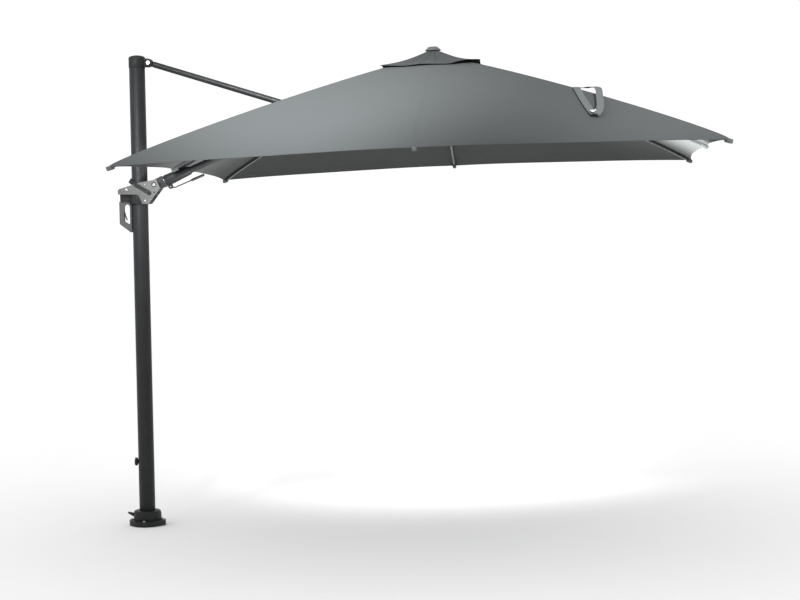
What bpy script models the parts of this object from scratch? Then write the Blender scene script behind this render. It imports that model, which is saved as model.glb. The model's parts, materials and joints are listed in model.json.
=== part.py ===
"""Cantilever parasol: a swivelling mast, a slider with a boom and an upper strut, and a square eight-rib canopy.

Run with: blender --background --python part.py
Metres, +Z up. The origin is on the mast's axis at the underside of the foot flange, and +X runs from the
mast towards the canopy. The canopy is open and the slider is at the top of its travel.
"""
import math

import bmesh
import bpy
from mathutils import Matrix, Vector

# ---- driving dimensions ------------------------------------------------------------------------------------
GAP = 0.0003                    # clearance left between touching pieces

MAST_R = 0.045                  # 90 mm round mast
MAST_WALL = 0.0025
MAST_TOP = 2.6045
FLANGE_R = 0.104                # foot flange, over its lobes
FLANGE_T = 0.030
FOOT_BOLT_CIRCLE = 0.0915       # four bolts hold the flange down
FOOT_BOLT_R = 0.0055
HOUSING_R = 0.079
HOUSING_TOP = 0.085
KNOB_Z = 0.364                  # clamp knob on the mast's rear side

BOOM_PIVOT = (0.0954, 1.9411)   # x and z of the bolt that carries the boom on the slider
STRUT_PIVOT = (0.0681, 2.6302)  # x and z of the bolt that carries the strut on the mast cap
CROWN = (1.6847, 2.583)         # x and z of the crown, level with the ribs' pins
CROWN_TILT = math.radians(1.29)  # the open canopy hangs a little lower on the mast's side
BOOM_ANGLE = math.atan2(CROWN[1] - BOOM_PIVOT[1], CROWN[0] - BOOM_PIVOT[0])
BOOM_LENGTH = math.dist(BOOM_PIVOT, CROWN)
COLLAR_AT = 1.012               # from the boom's pivot to the strut's collar
BOOM_R = 0.019

HALF_SIDE = 1.5                 # 3 m by 3 m canopy
APEX_RISE = 0.042               # cloth apex above the ribs' pins
MID_TIP_Z = -0.5226             # cloth at the middle of a side, below the pins
CORNER_TIP_Z = -0.5525          # cloth at a corner, below the pins
SCALLOP = 0.022                 # how far a hem is pulled in between two ribs
CLOTH_BOW = 0.041               # how far the cloth arches above the line from the crown to its hem
RIB_BOW = 0.039                 # how far a rib arches above the line from its pin to its tip
FORKED_BOW = 0.0355             # the forked rib's, whose bars lie beside the panel's middle
CLOTH_T = 0.0015
VENT_START = 0.08               # share of each panel left open under the vent cap
VENT_HALF = 0.275               # half side of the vent cap

RIB_PIN_R = 0.075               # the ribs' pins lie on this circle
RIB_W = 0.012
RIB_D = 0.016
RIB_DROP = 0.013                # rib axis below the cloth at its tip
TINE_Y = 0.057                  # the forked rib's two bars, either side of the boom
FORK_AT = 0.085                 # from the forked rib's pin to its cross bar
RIB_BOSS = 0.0075               # radius of the boss below a rib that holds its stretcher's pin
FOLDED = math.radians(84)       # angle of a folded rib
MID_REACH = 0.50                # from a rib's pin to its stretcher, and the stretcher's own length
MID_END = HALF_SIDE - 0.008
CORNER_END = HALF_SIDE * math.sqrt(2) - 0.008

SECTIONS = 32                   # sides of the large round pieces
SMALL = 20                      # sides of the small ones


def arch(share, bow):
    """Height above a bowed line's chord, share running from one end, 0, to the other, 1."""
    return bow * (4 * share * (1 - share)) ** 0.6


def rib_angle(reach, tip_z):
    """Slope of an open rib below level, from its pin to its tip."""
    return math.atan2(-(tip_z - RIB_DROP), reach - RIB_PIN_R)


MID_ANGLE = rib_angle(HALF_SIDE, MID_TIP_Z)
CORNER_ANGLE = rib_angle(HALF_SIDE * math.sqrt(2), CORNER_TIP_Z)
RUNNER_TRAVEL = 2 * MID_REACH * (math.sin(FOLDED) - math.sin(MID_ANGLE))
CORNER_REACH = RUNNER_TRAVEL / (2 * (math.sin(FOLDED) - math.sin(CORNER_ANGLE)))
MID_RING_Z = -2 * MID_REACH * math.sin(MID_ANGLE)
CORNER_RING_Z = -2 * CORNER_REACH * math.sin(CORNER_ANGLE)

COLLAR = (BOOM_PIVOT[0] + COLLAR_AT * math.cos(BOOM_ANGLE), BOOM_PIVOT[1] + COLLAR_AT * math.sin(BOOM_ANGLE))
STRUT_LENGTH = math.dist(STRUT_PIVOT, COLLAR)
STRUT_ANGLE = math.atan2(COLLAR[1] - STRUT_PIVOT[1], COLLAR[0] - STRUT_PIVOT[0])

# name, direction in degrees, and whether it ends at a corner
RIBS = [
    ("right", 0, False), ("far_right", 45, True), ("far", 90, False), ("far_left", 135, True),
    ("left", 180, False), ("near_left", 225, True), ("near", 270, False), ("near_right", 315, True),
]

# the cheek plates' outline, x and z
CHEEK = [
    (-0.1136, 1.8890), (-0.1136, 1.9140), (-0.1059, 1.9196), (-0.0225, 1.9446), (0.0160, 1.9552),
    (0.1088, 1.9703), (0.1301, 1.9206), (0.0633, 1.8334), (0.0269, 1.8324), (0.0049, 1.8800), (-0.0040, 1.8865),
]

# name: colour, roughness, metallic
FINISHES = {
    "graphite": ((0.045, 0.047, 0.048), 0.45, 0.6),
    "dark_casting": ((0.030, 0.031, 0.032), 0.55, 0.3),
    "speckled_grey": ((0.30, 0.31, 0.31), 0.60, 0.4),
    "black_plastic": ((0.018, 0.018, 0.019), 0.50, 0.0),
    "grip_plastic": ((0.060, 0.062, 0.063), 0.60, 0.0),
    "steel": ((0.55, 0.55, 0.56), 0.30, 1.0),
    "rib_alloy": ((0.20, 0.205, 0.21), 0.40, 0.9),
    "cloth": ((0.235, 0.25, 0.255), 0.90, 0.0),
}


# ---- scene and helpers -------------------------------------------------------------------------------------
for old in list(bpy.data.objects):
    bpy.data.objects.remove(old, do_unlink=True)

PARTS = bpy.data.collections.new("cantilever_parasol")
CUTTERS = bpy.data.collections.new("cutters")
bpy.context.scene.collection.children.link(PARTS)
bpy.context.scene.collection.children.link(CUTTERS)


def finish(node, name):
    """A material of the piece's own, from the table of finishes."""
    colour, roughness, metallic = FINISHES[name]
    mat = bpy.data.materials.new(f"{node}_{name}")
    mat.use_nodes = True
    shader = mat.node_tree.nodes["Principled BSDF"]
    shader.inputs["Base Color"].default_value = (*colour, 1.0)
    shader.inputs["Roughness"].default_value = roughness
    shader.inputs["Metallic"].default_value = metallic
    return mat


def place(obj, matrix, parent=None):
    obj.parent = parent
    obj.matrix_local = matrix


def new_object(name, data, finish_name=None, matrix=Matrix(), parent=None):
    """An object in the parts' collection, or a cutter where no finish is given."""
    obj = bpy.data.objects.new(name, data)
    (PARTS if finish_name else CUTTERS).objects.link(obj)
    if finish_name:
        data.materials.append(finish(name, finish_name))
    else:
        obj.hide_render = True
        obj.display_type = "WIRE"
    place(obj, matrix, parent)
    return obj


def at(x=0.0, y=0.0, z=0.0, turn_y=0.0, turn_z=0.0):
    """A place, turned about Y and then about Z."""
    return Matrix.Translation((x, y, z)) @ Matrix.Rotation(turn_z, 4, "Z") @ Matrix.Rotation(turn_y, 4, "Y")


def turned(name, profile, finish_name=None, matrix=Matrix(), parent=None, closed=False, sides=SECTIONS):
    """A profile of (radius, height) points turned about Z, run from the top down its outer side."""
    mesh = bpy.data.meshes.new(name)
    count = len(profile)
    edges = [(i, i + 1) for i in range(count - 1)]
    if closed:
        edges.append((count - 1, 0))
    mesh.from_pydata([(r, 0.0, z) for r, z in profile], edges, [])
    obj = new_object(name, mesh, finish_name, matrix, parent)
    screw = obj.modifiers.new("turn", "SCREW")
    screw.steps = sides
    screw.render_steps = sides
    screw.use_merge_vertices = True
    screw.merge_threshold = 0.0001
    screw.use_smooth_shade = True
    return obj


def rod(name, radius, low, high, finish_name=None, matrix=Matrix(), parent=None, sides=SMALL):
    """A plain round bar along Z."""
    profile = [(0.0, high), (radius, high), (radius, low), (0.0, low)]
    return turned(name, profile, finish_name, matrix, parent, sides=sides)


def ring(name, outer, inner, low, high, finish_name=None, matrix=Matrix(), parent=None, sides=SECTIONS):
    """A plain tube along Z."""
    profile = [(inner, high), (outer, high), (outer, low), (inner, low)]
    return turned(name, profile, finish_name, matrix, parent, closed=True, sides=sides)


def box(name, low, high, finish_name=None, matrix=Matrix(), parent=None):
    mesh = bpy.data.meshes.new(name)
    form = bmesh.new()
    bmesh.ops.create_cube(form, size=1.0)
    size = Vector(high) - Vector(low)
    bmesh.ops.scale(form, vec=size, verts=form.verts)
    bmesh.ops.translate(form, vec=Vector(low) + size / 2, verts=form.verts)
    form.to_mesh(mesh)
    form.free()
    return new_object(name, mesh, finish_name, matrix, parent)


def plate(name, loops, thickness, finish_name=None, matrix=Matrix(), parent=None, lift=0.0, flat=False):
    """A flat outline, with holes where more loops are given, made solid along Y, or along Z where flat is set."""
    curve = bpy.data.curves.new(name, "CURVE")
    curve.dimensions = "2D"
    curve.fill_mode = "BOTH"
    curve.extrude = thickness / 2
    for loop in loops:
        spline = curve.splines.new("POLY")
        spline.points.add(len(loop) - 1)
        for point, (x, z) in zip(spline.points, loop):
            point.co = (x, z, 0.0, 1.0)
        spline.use_cyclic_u = True
    outline = bpy.data.objects.new(name, curve)
    PARTS.objects.link(outline)
    bpy.context.view_layer.update()
    mesh = bpy.data.meshes.new_from_object(outline.evaluated_get(bpy.context.evaluated_depsgraph_get()))
    bpy.data.objects.remove(outline, do_unlink=True)
    form = bmesh.new()
    form.from_mesh(mesh)
    bmesh.ops.remove_doubles(form, verts=form.verts, dist=0.00001)
    stand = Matrix() if flat else Matrix.Rotation(math.pi / 2, 4, "X")
    bmesh.ops.transform(form, matrix=Matrix.Translation((0, 0, lift) if flat else (0, lift, 0)) @ stand,
                        verts=form.verts)
    bmesh.ops.recalc_face_normals(form, faces=form.faces)
    mesh.clear_geometry()
    form.to_mesh(mesh)
    form.free()
    mesh.name = name
    return new_object(name, mesh, finish_name, matrix, parent)


def boolean(obj, tool, operation="DIFFERENCE"):
    """Cut the tool from the object, or join it on; the tool stays as a hidden cutter."""
    for holder in list(tool.users_collection):
        holder.objects.unlink(tool)
    CUTTERS.objects.link(tool)
    tool.hide_render = True
    tool.display_type = "WIRE"
    step = obj.modifiers.new(tool.name, "BOOLEAN")
    step.operation = operation
    step.solver = "EXACT"
    step.object = tool


def arc(cx, cz, radius, start, end, steps):
    """Points along an arc, in degrees, both ends included."""
    turns = [math.radians(start + (end - start) * i / steps) for i in range(steps + 1)]
    return [(cx + radius * math.cos(a), cz + radius * math.sin(a)) for a in turns]


def circle(cx, cz, radius, sides=SMALL):
    return arc(cx, cz, radius, 0, 360, sides)[:-1]


ALONG_X = Matrix.Rotation(math.pi / 2, 4, "Y")    # a piece made along Z, laid along +X
ALONG_Y = Matrix.Rotation(-math.pi / 2, 4, "X")   # a piece made along Z, laid along +Y


def cross_bore(name, x, z, radius, half, matrix=Matrix(), parent=None):
    """A round cutter along Y."""
    return rod(name, radius, -half, half, None, matrix @ at(x, 0, z) @ ALONG_Y, parent)


# ---- frames that carry pieces ------------------------------------------------------------------------------
def empty(name, matrix):
    frame = bpy.data.objects.new(name, None)
    PARTS.objects.link(frame)
    frame.matrix_world = matrix
    return frame


BOOM_FRAME = empty("boom_frame", at(BOOM_PIVOT[0], 0, BOOM_PIVOT[1], turn_y=-BOOM_ANGLE))
STRUT_FRAME = empty("strut_frame", at(STRUT_PIVOT[0], 0, STRUT_PIVOT[1], turn_y=-STRUT_ANGLE))
CROWN_FRAME = empty("crown_frame", at(CROWN[0], 0, CROWN[1], turn_y=-CROWN_TILT))
bpy.context.view_layer.update()


# ---- foot --------------------------------------------------------------------------------------------------
PEDAL_PIN = (-0.0715, 0.0575)
PAWL_Z = 0.0479                 # the pawl is drawn just lifted, clear of the ring's top
RING_NOTCHES = 12


def foot_flange():
    """A round plate with four lobes, drilled for the bolts that hold it to a base or the ground."""
    lobe = 0.0065
    outline = []
    for i in range(64):
        a = math.tau * i / 64
        r = FLANGE_R - lobe * (1 - math.cos(4 * a)) / 2
        outline.append((r * math.cos(a), r * math.sin(a)))
    holes = []
    for i in range(4):
        a = math.tau * i / 4
        holes.append(circle(FOOT_BOLT_CIRCLE * math.cos(a), FOOT_BOLT_CIRCLE * math.sin(a), FOOT_BOLT_R, 12))
    plate("foot_flange", [outline] + holes, FLANGE_T, "dark_casting", lift=FLANGE_T / 2, flat=True)


def swivel_housing():
    """The cup on the flange that the mast turns in."""
    low = FLANGE_T + GAP
    profile = [
        (0.0458, HOUSING_TOP), (0.0700, HOUSING_TOP), (0.0745, 0.0825), (HOUSING_R, 0.0680), (HOUSING_R, low),
        (0.0640, low), (0.0640, 0.0740), (0.0458, 0.0740),
    ]
    housing = turned("swivel_housing", profile, "dark_casting", closed=True)
    boolean(housing, box("pedal_opening", (-0.095, -0.0135, 0.0435), (-0.055, 0.0135, 0.0715)))
    boolean(housing, cross_bore("pedal_pin_bore", *PEDAL_PIN, 0.0028, 0.0205))


def swivel_bearing():
    ring("swivel_bearing", 0.0445, 0.0300, FLANGE_T + GAP, 0.0353, "steel")


def index_ring():
    """A notched ring on the mast's foot; the pedal's pawl drops into a notch every 30 degrees."""
    outer, root = 0.0600, 0.0545
    half_notch = 0.0046
    outline = []
    for i in range(RING_NOTCHES):
        centre = math.pi + math.tau * i / RING_NOTCHES
        deep, shallow = math.asin(half_notch / root), math.asin(half_notch / outer)
        next_side = centre + math.tau / RING_NOTCHES - shallow
        for r, a in ((outer, centre - shallow), (root, centre - deep), (root, centre + deep),
                     (outer, centre + shallow), (outer, (centre + shallow + next_side) / 2)):
            outline.append((r * math.cos(a), r * math.sin(a)))
    plate("index_ring", [outline, circle(0, 0, MAST_R + GAP, SECTIONS)], 0.0035, "steel", lift=0.0458, flat=True)


def foot_pedal():
    """A tread that lifts its pawl out of the notched ring when it is pressed down."""
    px, pz = PEDAL_PIN
    eye_r = 0.0028
    tread = [(-0.1120, 0.0745), (-0.0660, 0.0660), (-0.0660, 0.0520), (-0.0820, 0.0510), (-0.1120, 0.0695)]
    pawl = [(-0.0690, 0.0610), (-0.0620, 0.0600), (-0.0562, 0.0540), (-0.0562, PAWL_Z), (-0.0605, PAWL_Z),
            (-0.0605, 0.0515), (-0.0690, 0.0530)]
    shift = lambda points: [(x - px, z - pz) for x, z in points]
    pedal = plate("foot_pedal", [shift(tread)], 0.0250, "dark_casting", at(px, 0, pz))
    boolean(pedal, plate("pawl", [shift(pawl)], 0.0080, None, at(px, 0, pz)), "UNION")
    boolean(pedal, cross_bore("pedal_bore", px, pz, eye_r, 0.020))


def pedal_pin():
    rod("pedal_pin", 0.0025, -0.0200, 0.0200, "steel", at(PEDAL_PIN[0], 0, PEDAL_PIN[1]) @ ALONG_Y, sides=12)


# ---- mast --------------------------------------------------------------------------------------------------
def mast_tube():
    tube = ring("mast_tube", MAST_R, MAST_R - MAST_WALL, 0.0356, MAST_TOP, "graphite")
    boolean(tube, rod("knob_bore", 0.0063, -0.06, -0.03, None, at(0, 0, KNOB_Z) @ ALONG_X, sides=16))


def mast_spigot():
    """The inner tube on the swivel that the mast is slid over and clamped to."""
    ring("mast_spigot", MAST_R - MAST_WALL - GAP, 0.0380, 0.0356, 0.4200, "steel")


def mast_cap():
    """A domed plug with two ears that hold the strut's bolt."""
    dome = [(0.0470 * math.cos(a), 2.6600 + 0.0150 * math.sin(a)) for a in (1.2, 0.8, 0.4, 0.0)]
    profile = [(0.0, 2.6750)] + dome + [(0.0470, MAST_TOP + GAP), (0.0420, MAST_TOP + GAP), (0.0420, 2.5750),
                                        (0.0, 2.5750)]
    cap = turned("mast_cap", profile, "dark_casting")
    x, z = STRUT_PIVOT
    ear = [(0.0200, 2.6080), (x, z - 0.0240)] + arc(x, z, 0.0240, -60, 60, 6) + [(x, z + 0.0240), (0.0200, 2.6560)]
    boolean(cap, plate("ears", [ear], 0.0370), "UNION")
    boolean(cap, box("ear_gap", (0.0475, -0.0105, 2.58), (0.12, 0.0105, 2.68)))
    boolean(cap, cross_bore("strut_bolt_bore", x, z, 0.0063, 0.03))


def strut_bolt():
    head, shank, end = 0.0110, 0.0060, 0.0245
    profile = [(0.0, end), (head, end), (head, 0.0189), (shank, 0.0189), (shank, -0.0189), (head, -0.0189),
               (head, -end), (0.0, -end)]
    turned("strut_bolt", profile, "steel", at(STRUT_PIVOT[0], 0, STRUT_PIVOT[1]) @ ALONG_Y, sides=SMALL)


def lock_knob():
    """A clamp knob whose stem passes through the mast's wall to the spigot."""
    profile = [(0.0, 0.0640), (0.0200, 0.0640), (0.0240, 0.0610), (0.0240, 0.0530), (0.0210, 0.0500),
               (0.0110, 0.0500), (0.0110, 0.0456), (0.0060, 0.0456), (0.0060, 0.0427), (0.0, 0.0427)]
    turned("lock_knob", profile, "black_plastic", at(0, 0, KNOB_Z) @ Matrix.Rotation(-math.pi / 2, 4, "Y"))


# ---- slider ------------------------------------------------------------------------------------------------
SLIDER_R = 0.0565
BUSH_R = 0.0480
CHEEK_IN = 0.0568
CHEEK_T = 0.0040
BRAKE_Z = 1.880
TRIGGER_PIN = (-0.0985, 1.7925)
BAIL_PIVOT = (0.0680, 1.8940)
BAIL_ANGLE = math.radians(148.6)
BAIL_LENGTH = 0.1487


def inset(points, right):
    """The cheek's outline with its front edge moved back by the given amount."""
    return [(x - right if x > 0.03 else x, z) for x, z in points]


def slider_body():
    """A collar round the mast, with a head for the handle and two walls that hold the boom's bolt."""
    walls = [
        (0.0, 1.9420), (0.0160, 1.9490), (0.1030, 1.9635), (0.1225, 1.9200), (0.0600, 1.8380), (0.0300, 1.8380),
        (0.0, 1.8750),
    ]
    body = rod("slider_body", SLIDER_R, 1.8340, 1.9300, "dark_casting", sides=SECTIONS)
    front = plate("slider_walls", [walls], 2 * SLIDER_R - 0.0010)
    boolean(front, box("boom_space", (0.0200, -0.0490, 1.80), (0.20, 0.0490, 2.00)))
    boolean(body, front, "UNION")
    head = [(-0.1085, 1.8500), (-0.1085, 1.9050), (-0.1020, 1.9130), (-0.0400, 1.9250), (-0.0400, 1.8500)]
    boolean(body, plate("handle_head", [head], 0.0600), "UNION")
    boolean(body, rod("mast_bore", BUSH_R + GAP, 1.80, 2.00, sides=SECTIONS + 4))
    boolean(body, rod("brake_bore", 0.0043, -0.0905, -0.0300, None, at(0, 0, BRAKE_Z) @ ALONG_X))


def slide_bushes():
    for name, low in (("slide_bush_lower", 1.8360), ("slide_bush_upper", 1.9160)):
        ring(name, BUSH_R, MAST_R + GAP, low, low + 0.0120, "black_plastic")


def cheeks():
    """The two side plates; the far one is cut back at its front edge."""
    plate("cheek_near", [CHEEK], CHEEK_T, "speckled_grey", lift=-(CHEEK_IN + CHEEK_T / 2))
    plate("cheek_far", [inset(CHEEK, 0.0080)], CHEEK_T, "speckled_grey", lift=CHEEK_IN + CHEEK_T / 2)


def handle_grip():
    """A closed loop below the slider's head: an outer grip, an inner bar along the mast and a slanted foot."""
    top = 1.8500 - GAP
    step = 1.8340 - GAP                                # underside of the collar above the inner bar
    outer = [(-0.1180, top), (-0.1180, 1.7270)] + arc(-0.1080, 1.7270, 0.0100, 180, 232, 3)
    outer += [(-0.0560, 1.6740)] + arc(-0.0520, 1.6790, 0.0050, 235, 350, 3)
    outer += [(-0.0470, step), (-SLIDER_R - GAP, step), (-SLIDER_R - GAP, top)]
    opening = arc(-0.0750, 1.8155, 0.0173, 0, 180, 8) + [(-0.0923, 1.7400)]
    opening += arc(-0.0850, 1.7400, 0.0073, 180, 240, 2) + arc(-0.0650, 1.7275, 0.0073, 240, 360, 4)
    grip = plate("handle_grip", [outer, opening[::-1]], 0.0300, "grip_plastic")
    boolean(grip, box("trigger_slot", (-0.1090, -0.0045, 1.7500), (-0.0850, 0.0045, 1.8150)))
    boolean(grip, cross_bore("trigger_bore", *TRIGGER_PIN, 0.0023, 0.0125))


def trigger():
    """A finger bar across the handle's opening, hung from a pin in the grip."""
    px, pz = TRIGGER_PIN
    bar = [(-0.0050, 0.0030), (0.0030, 0.0060), (0.0105, -0.0030), (0.0160, -0.0270), (0.0240, -0.0470),
           (0.0210, -0.0500), (0.0180, -0.0485), (0.0095, -0.0270), (0.0040, -0.0100), (-0.0040, -0.0050)]
    lever = plate("trigger", [bar[::-1]], 0.0080, "black_plastic", at(px, 0, pz))
    boolean(lever, cross_bore("trigger_pin_bore", px, pz, 0.0023, 0.010))


def trigger_pin():
    rod("trigger_pin", 0.0020, -0.0120, 0.0120, "steel", at(TRIGGER_PIN[0], 0, TRIGGER_PIN[1]) @ ALONG_Y, sides=12)


def brake_plunger():
    """The plunger that bears on the mast until the trigger draws it back."""
    rod("brake_plunger", 0.0040, -0.0700, -0.0460, "steel", at(0, 0, BRAKE_Z) @ ALONG_X, sides=12)


def bail():
    """A strap bent round the mast's rear, hung on the two cheeks."""
    half = 0.0125
    outline = arc(0, 0, half, 90, 270, 8) + [(BAIL_LENGTH + 0.0070, -half), (BAIL_LENGTH + 0.0120, -0.0080),
                                             (BAIL_LENGTH + 0.0120, 0.0080), (BAIL_LENGTH + 0.0070, half)]
    where = at(BAIL_PIVOT[0], 0, BAIL_PIVOT[1], turn_y=-BAIL_ANGLE)
    strap = plate("bail", [outline], 2 * 0.0652, "dark_casting", where)
    boolean(strap, box("bail_inside", (-0.03, -0.0612, -0.03), (0.1500, 0.0612, 0.03), None, where))


# ---- knuckle and boom, along the boom frame's X ------------------------------------------------------------
SLEEVE_START = 0.0575
SLEEVE_END = 0.2120
LEVER_PIN = (0.0732, -0.0430)
PLUNGER_DROP = -0.0262


def knuckle_block():
    """The block between the slider's walls, with a round spigot that the boom turns on."""
    end = SLEEVE_START - 0.0030
    outline = arc(0, 0, 0.0300, 75, 285, 12) + [(end - 0.004, -0.0320), (end, -0.0280), (end, 0.0280),
                                                (end - 0.004, 0.0320)]
    block = plate("knuckle_block", [outline], 0.0600, "dark_casting", parent=BOOM_FRAME)
    boolean(block, rod("knuckle_spigot", 0.0175, end - 0.01, 0.1250, None, ALONG_X, BOOM_FRAME), "UNION")
    boolean(block, cross_bore("knuckle_bore", 0, 0, 0.0083, 0.04, parent=BOOM_FRAME))


def knuckle_pin():
    rod("knuckle_pin", 0.0080, -0.0487, 0.0487, "steel", ALONG_Y, BOOM_FRAME)


def boom_collar():
    """A ring on the boom that does not turn with it, with a stub on each side for the strut's fork."""
    bore = BOOM_R + GAP
    collar = ring("boom_collar", 0.0255, bore, -0.0200, 0.0200, "dark_casting", at(COLLAR_AT) @ ALONG_X, BOOM_FRAME)
    stubs = rod("collar_stubs", 0.0080, -0.0362, 0.0362, None, at(COLLAR_AT) @ ALONG_Y, BOOM_FRAME)
    boolean(stubs, rod("collar_clear", 0.0230, -0.03, 0.03, None, at(COLLAR_AT) @ ALONG_X, BOOM_FRAME))
    boolean(collar, stubs, "UNION")


def boom_sleeve():
    """The tapered socket that turns on the knuckle, with a lug below for the release lever."""
    bore = BOOM_R + GAP
    profile = [
        (bore, SLEEVE_END), (0.0235, SLEEVE_END), (0.0248, SLEEVE_END - 0.004), (0.0325, 0.1050),
        (0.0325, SLEEVE_START + 0.006), (0.0295, SLEEVE_START), (bore, SLEEVE_START),
    ]
    sleeve = turned("boom_sleeve", profile, "dark_casting", ALONG_X, BOOM_FRAME, closed=True)
    x, z = LEVER_PIN
    lug = [(x - 0.0130, -0.0260), (x - 0.0120, z)] + arc(x, z, 0.0120, 180, 360, 8) + [(x + 0.0120, -0.0260)]
    boolean(sleeve, plate("lever_lug", [lug], 0.0240, parent=BOOM_FRAME), "UNION")
    boolean(sleeve, box("lever_slot", (x - 0.03, -0.0050, z - 0.02), (x + 0.03, 0.0050, -0.0330), None, Matrix(),
                        BOOM_FRAME))
    boolean(sleeve, cross_bore("lever_bore", x, z, 0.0028, 0.02, parent=BOOM_FRAME))
    boolean(sleeve, rod("plunger_bore", 0.0033, 0.05, 0.0860, None, at(z=PLUNGER_DROP) @ ALONG_X, BOOM_FRAME,
                        sides=12))


def boom_tube():
    """A round tube that ends in a flat tongue, held in the crown by a pin."""
    neck = BOOM_LENGTH - 0.2050
    profile = [(0.0, neck + 0.02), (0.0100, neck + 0.02), (BOOM_R, neck), (BOOM_R, 0.1275), (BOOM_R - 0.0025, 0.1275),
               (BOOM_R - 0.0025, neck - 0.01), (0.0, neck - 0.01)]
    tube = turned("boom_tube", profile, "graphite", ALONG_X, BOOM_FRAME)
    tongue = [(neck, 0.0110), (neck, -0.0110), (BOOM_LENGTH, -0.0130)]
    tongue += arc(BOOM_LENGTH, 0, 0.0130, -60, 60, 8) + [(BOOM_LENGTH, 0.0130)]
    boolean(tube, plate("boom_tongue", [tongue], 0.0200, parent=BOOM_FRAME), "UNION")
    boolean(tube, cross_bore("crown_pin_bore", BOOM_LENGTH, 0, 0.0063, 0.02, parent=BOOM_FRAME))


def roll_lever():
    """The lever below the sleeve: an eye, a thin rod and a ribbed grip."""
    x, z = LEVER_PIN
    rod_low, rod_high, grip_end, rod_z = 0.0199, 0.1217, 0.2036, -0.0130
    here = at(x, 0, z)
    eye = circle(0, 0, 0.0090, 16)
    lever = plate("roll_lever", [eye], 0.0090, "black_plastic", here, BOOM_FRAME)
    link = [(0.0, 0.0060), (rod_low, rod_z + 0.0035), (rod_low, rod_z - 0.0035), (-0.0060, -0.0060)]
    boolean(lever, plate("lever_neck", [link[::-1]], 0.0070, None, here, BOOM_FRAME), "UNION")
    bar = [(0.0, grip_end), (0.0070, grip_end), (0.0080, grip_end - 0.003)]
    steps = 6
    for i in range(steps):
        top = grip_end - 0.004 - (grip_end - 0.006 - rod_high) * i / steps
        pitch = (grip_end - 0.006 - rod_high) / steps
        bar += [(0.0080, top), (0.0066, top - pitch * 0.45), (0.0080, top - pitch * 0.9)]
    bar += [(0.0035, rod_high), (0.0035, rod_low - 0.004), (0.0, rod_low - 0.004)]
    boolean(lever, turned("lever_rod", bar, None, here @ at(z=rod_z) @ ALONG_X, BOOM_FRAME, sides=16), "UNION")
    boolean(lever, cross_bore("lever_eye_bore", x, z, 0.0028, 0.02, parent=BOOM_FRAME))


def lever_pin():
    rod("lever_pin", 0.0025, -0.0118, 0.0118, "steel", at(LEVER_PIN[0], 0, LEVER_PIN[1]) @ ALONG_Y, BOOM_FRAME, 12)


def index_plunger():
    """The spring plunger in the sleeve that bears on the knuckle's face."""
    rod("index_plunger", 0.0030, 0.0560, 0.0800, "steel", at(z=PLUNGER_DROP) @ ALONG_X, BOOM_FRAME, sides=12)


# ---- strut, along the strut frame's X ----------------------------------------------------------------------
FORK_BASE = 0.1150
FORK_GAP = 0.0985                # room between the tines, measured from the collar


def strut_tube():
    """A round tube with an eye that fits between the cap's ears."""
    radius, wall = 0.0170, 0.0025
    start, end = 0.0280, STRUT_LENGTH - FORK_BASE
    profile = [(radius - wall, end), (radius, end), (radius, start + 0.002), (radius - 0.002, start), (0.0, start),
               (0.0, start + 0.008), (radius - wall, start + 0.008)]
    tube = turned("strut_tube", profile, "graphite", ALONG_X, STRUT_FRAME, closed=True)
    tongue = arc(0, 0, 0.0185, 100, 260, 10) + [(start + 0.006, -0.0140), (start + 0.006, 0.0140)]
    boolean(tube, plate("strut_tongue", [tongue], 0.0190, parent=STRUT_FRAME), "UNION")
    boolean(tube, cross_bore("strut_eye_bore", 0, 0, 0.0063, 0.02, parent=STRUT_FRAME))


def strut_fork():
    """A two-tine end that straddles the boom and holds the collar's stubs."""
    half = 0.0155
    outline = arc(STRUT_LENGTH, 0, half, -90, 90, 8) + [(STRUT_LENGTH - FORK_BASE + GAP, half),
                                                        (STRUT_LENGTH - FORK_BASE + GAP, -half)]
    fork = plate("strut_fork", [outline], 2 * 0.0335, "dark_casting", parent=STRUT_FRAME)
    boolean(fork, box("fork_gap", (STRUT_LENGTH - FORK_GAP, -0.0270, -0.03), (STRUT_LENGTH + 0.03, 0.0270, 0.03), None,
                      Matrix(), STRUT_FRAME))
    base = STRUT_LENGTH - FORK_BASE
    plug = rod("fork_plug", 0.0142, base - 0.0400, base + 0.0050, None, ALONG_X, STRUT_FRAME)
    boolean(fork, plug, "UNION")
    boolean(fork, cross_bore("fork_bore", STRUT_LENGTH, 0, 0.0083, 0.05, parent=STRUT_FRAME))


# ---- crown, ribs and stretchers, in the crown frame --------------------------------------------------------
HUB_R = 0.085
HUB_HALF = 0.012
HUB_BOSS_TOP = 0.032


def direction(degrees):
    a = math.radians(degrees)
    return Matrix.Rotation(a, 4, "Z")


def crown_hub():
    """A slotted disc that holds the ribs' roots, with a space below its boss for the boom's tongue."""
    profile = [(0.0, HUB_BOSS_TOP), (0.0280, HUB_BOSS_TOP), (0.0320, HUB_BOSS_TOP - 0.004), (0.0320, HUB_HALF),
               (HUB_R, HUB_HALF), (HUB_R, -HUB_HALF), (0.0, -HUB_HALF)]
    hub = turned("crown_hub", profile, "rib_alloy", parent=CROWN_FRAME)
    slot_half = RIB_W / 2 + 0.0005                     # the ribs' roots swing freely in their slots
    for name, degrees, _ in RIBS:
        boolean(hub, box(f"root_slot_{name}", (0.0615, -slot_half, -0.03), (0.12, slot_half, 0.03), None,
                         direction(degrees), CROWN_FRAME))
    boolean(hub, box("tongue_space", (-0.0700, -0.0105, -0.03), (0.0160, 0.0105, 0.0150), None, Matrix(),
                     CROWN_FRAME))
    boolean(hub, cross_bore("crown_bore", 0, 0, 0.0063, 0.0300, parent=CROWN_FRAME))


def crown_pin():
    rod("crown_pin", 0.0060, -0.0290, 0.0290, "steel", ALONG_Y, CROWN_FRAME)


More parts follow.
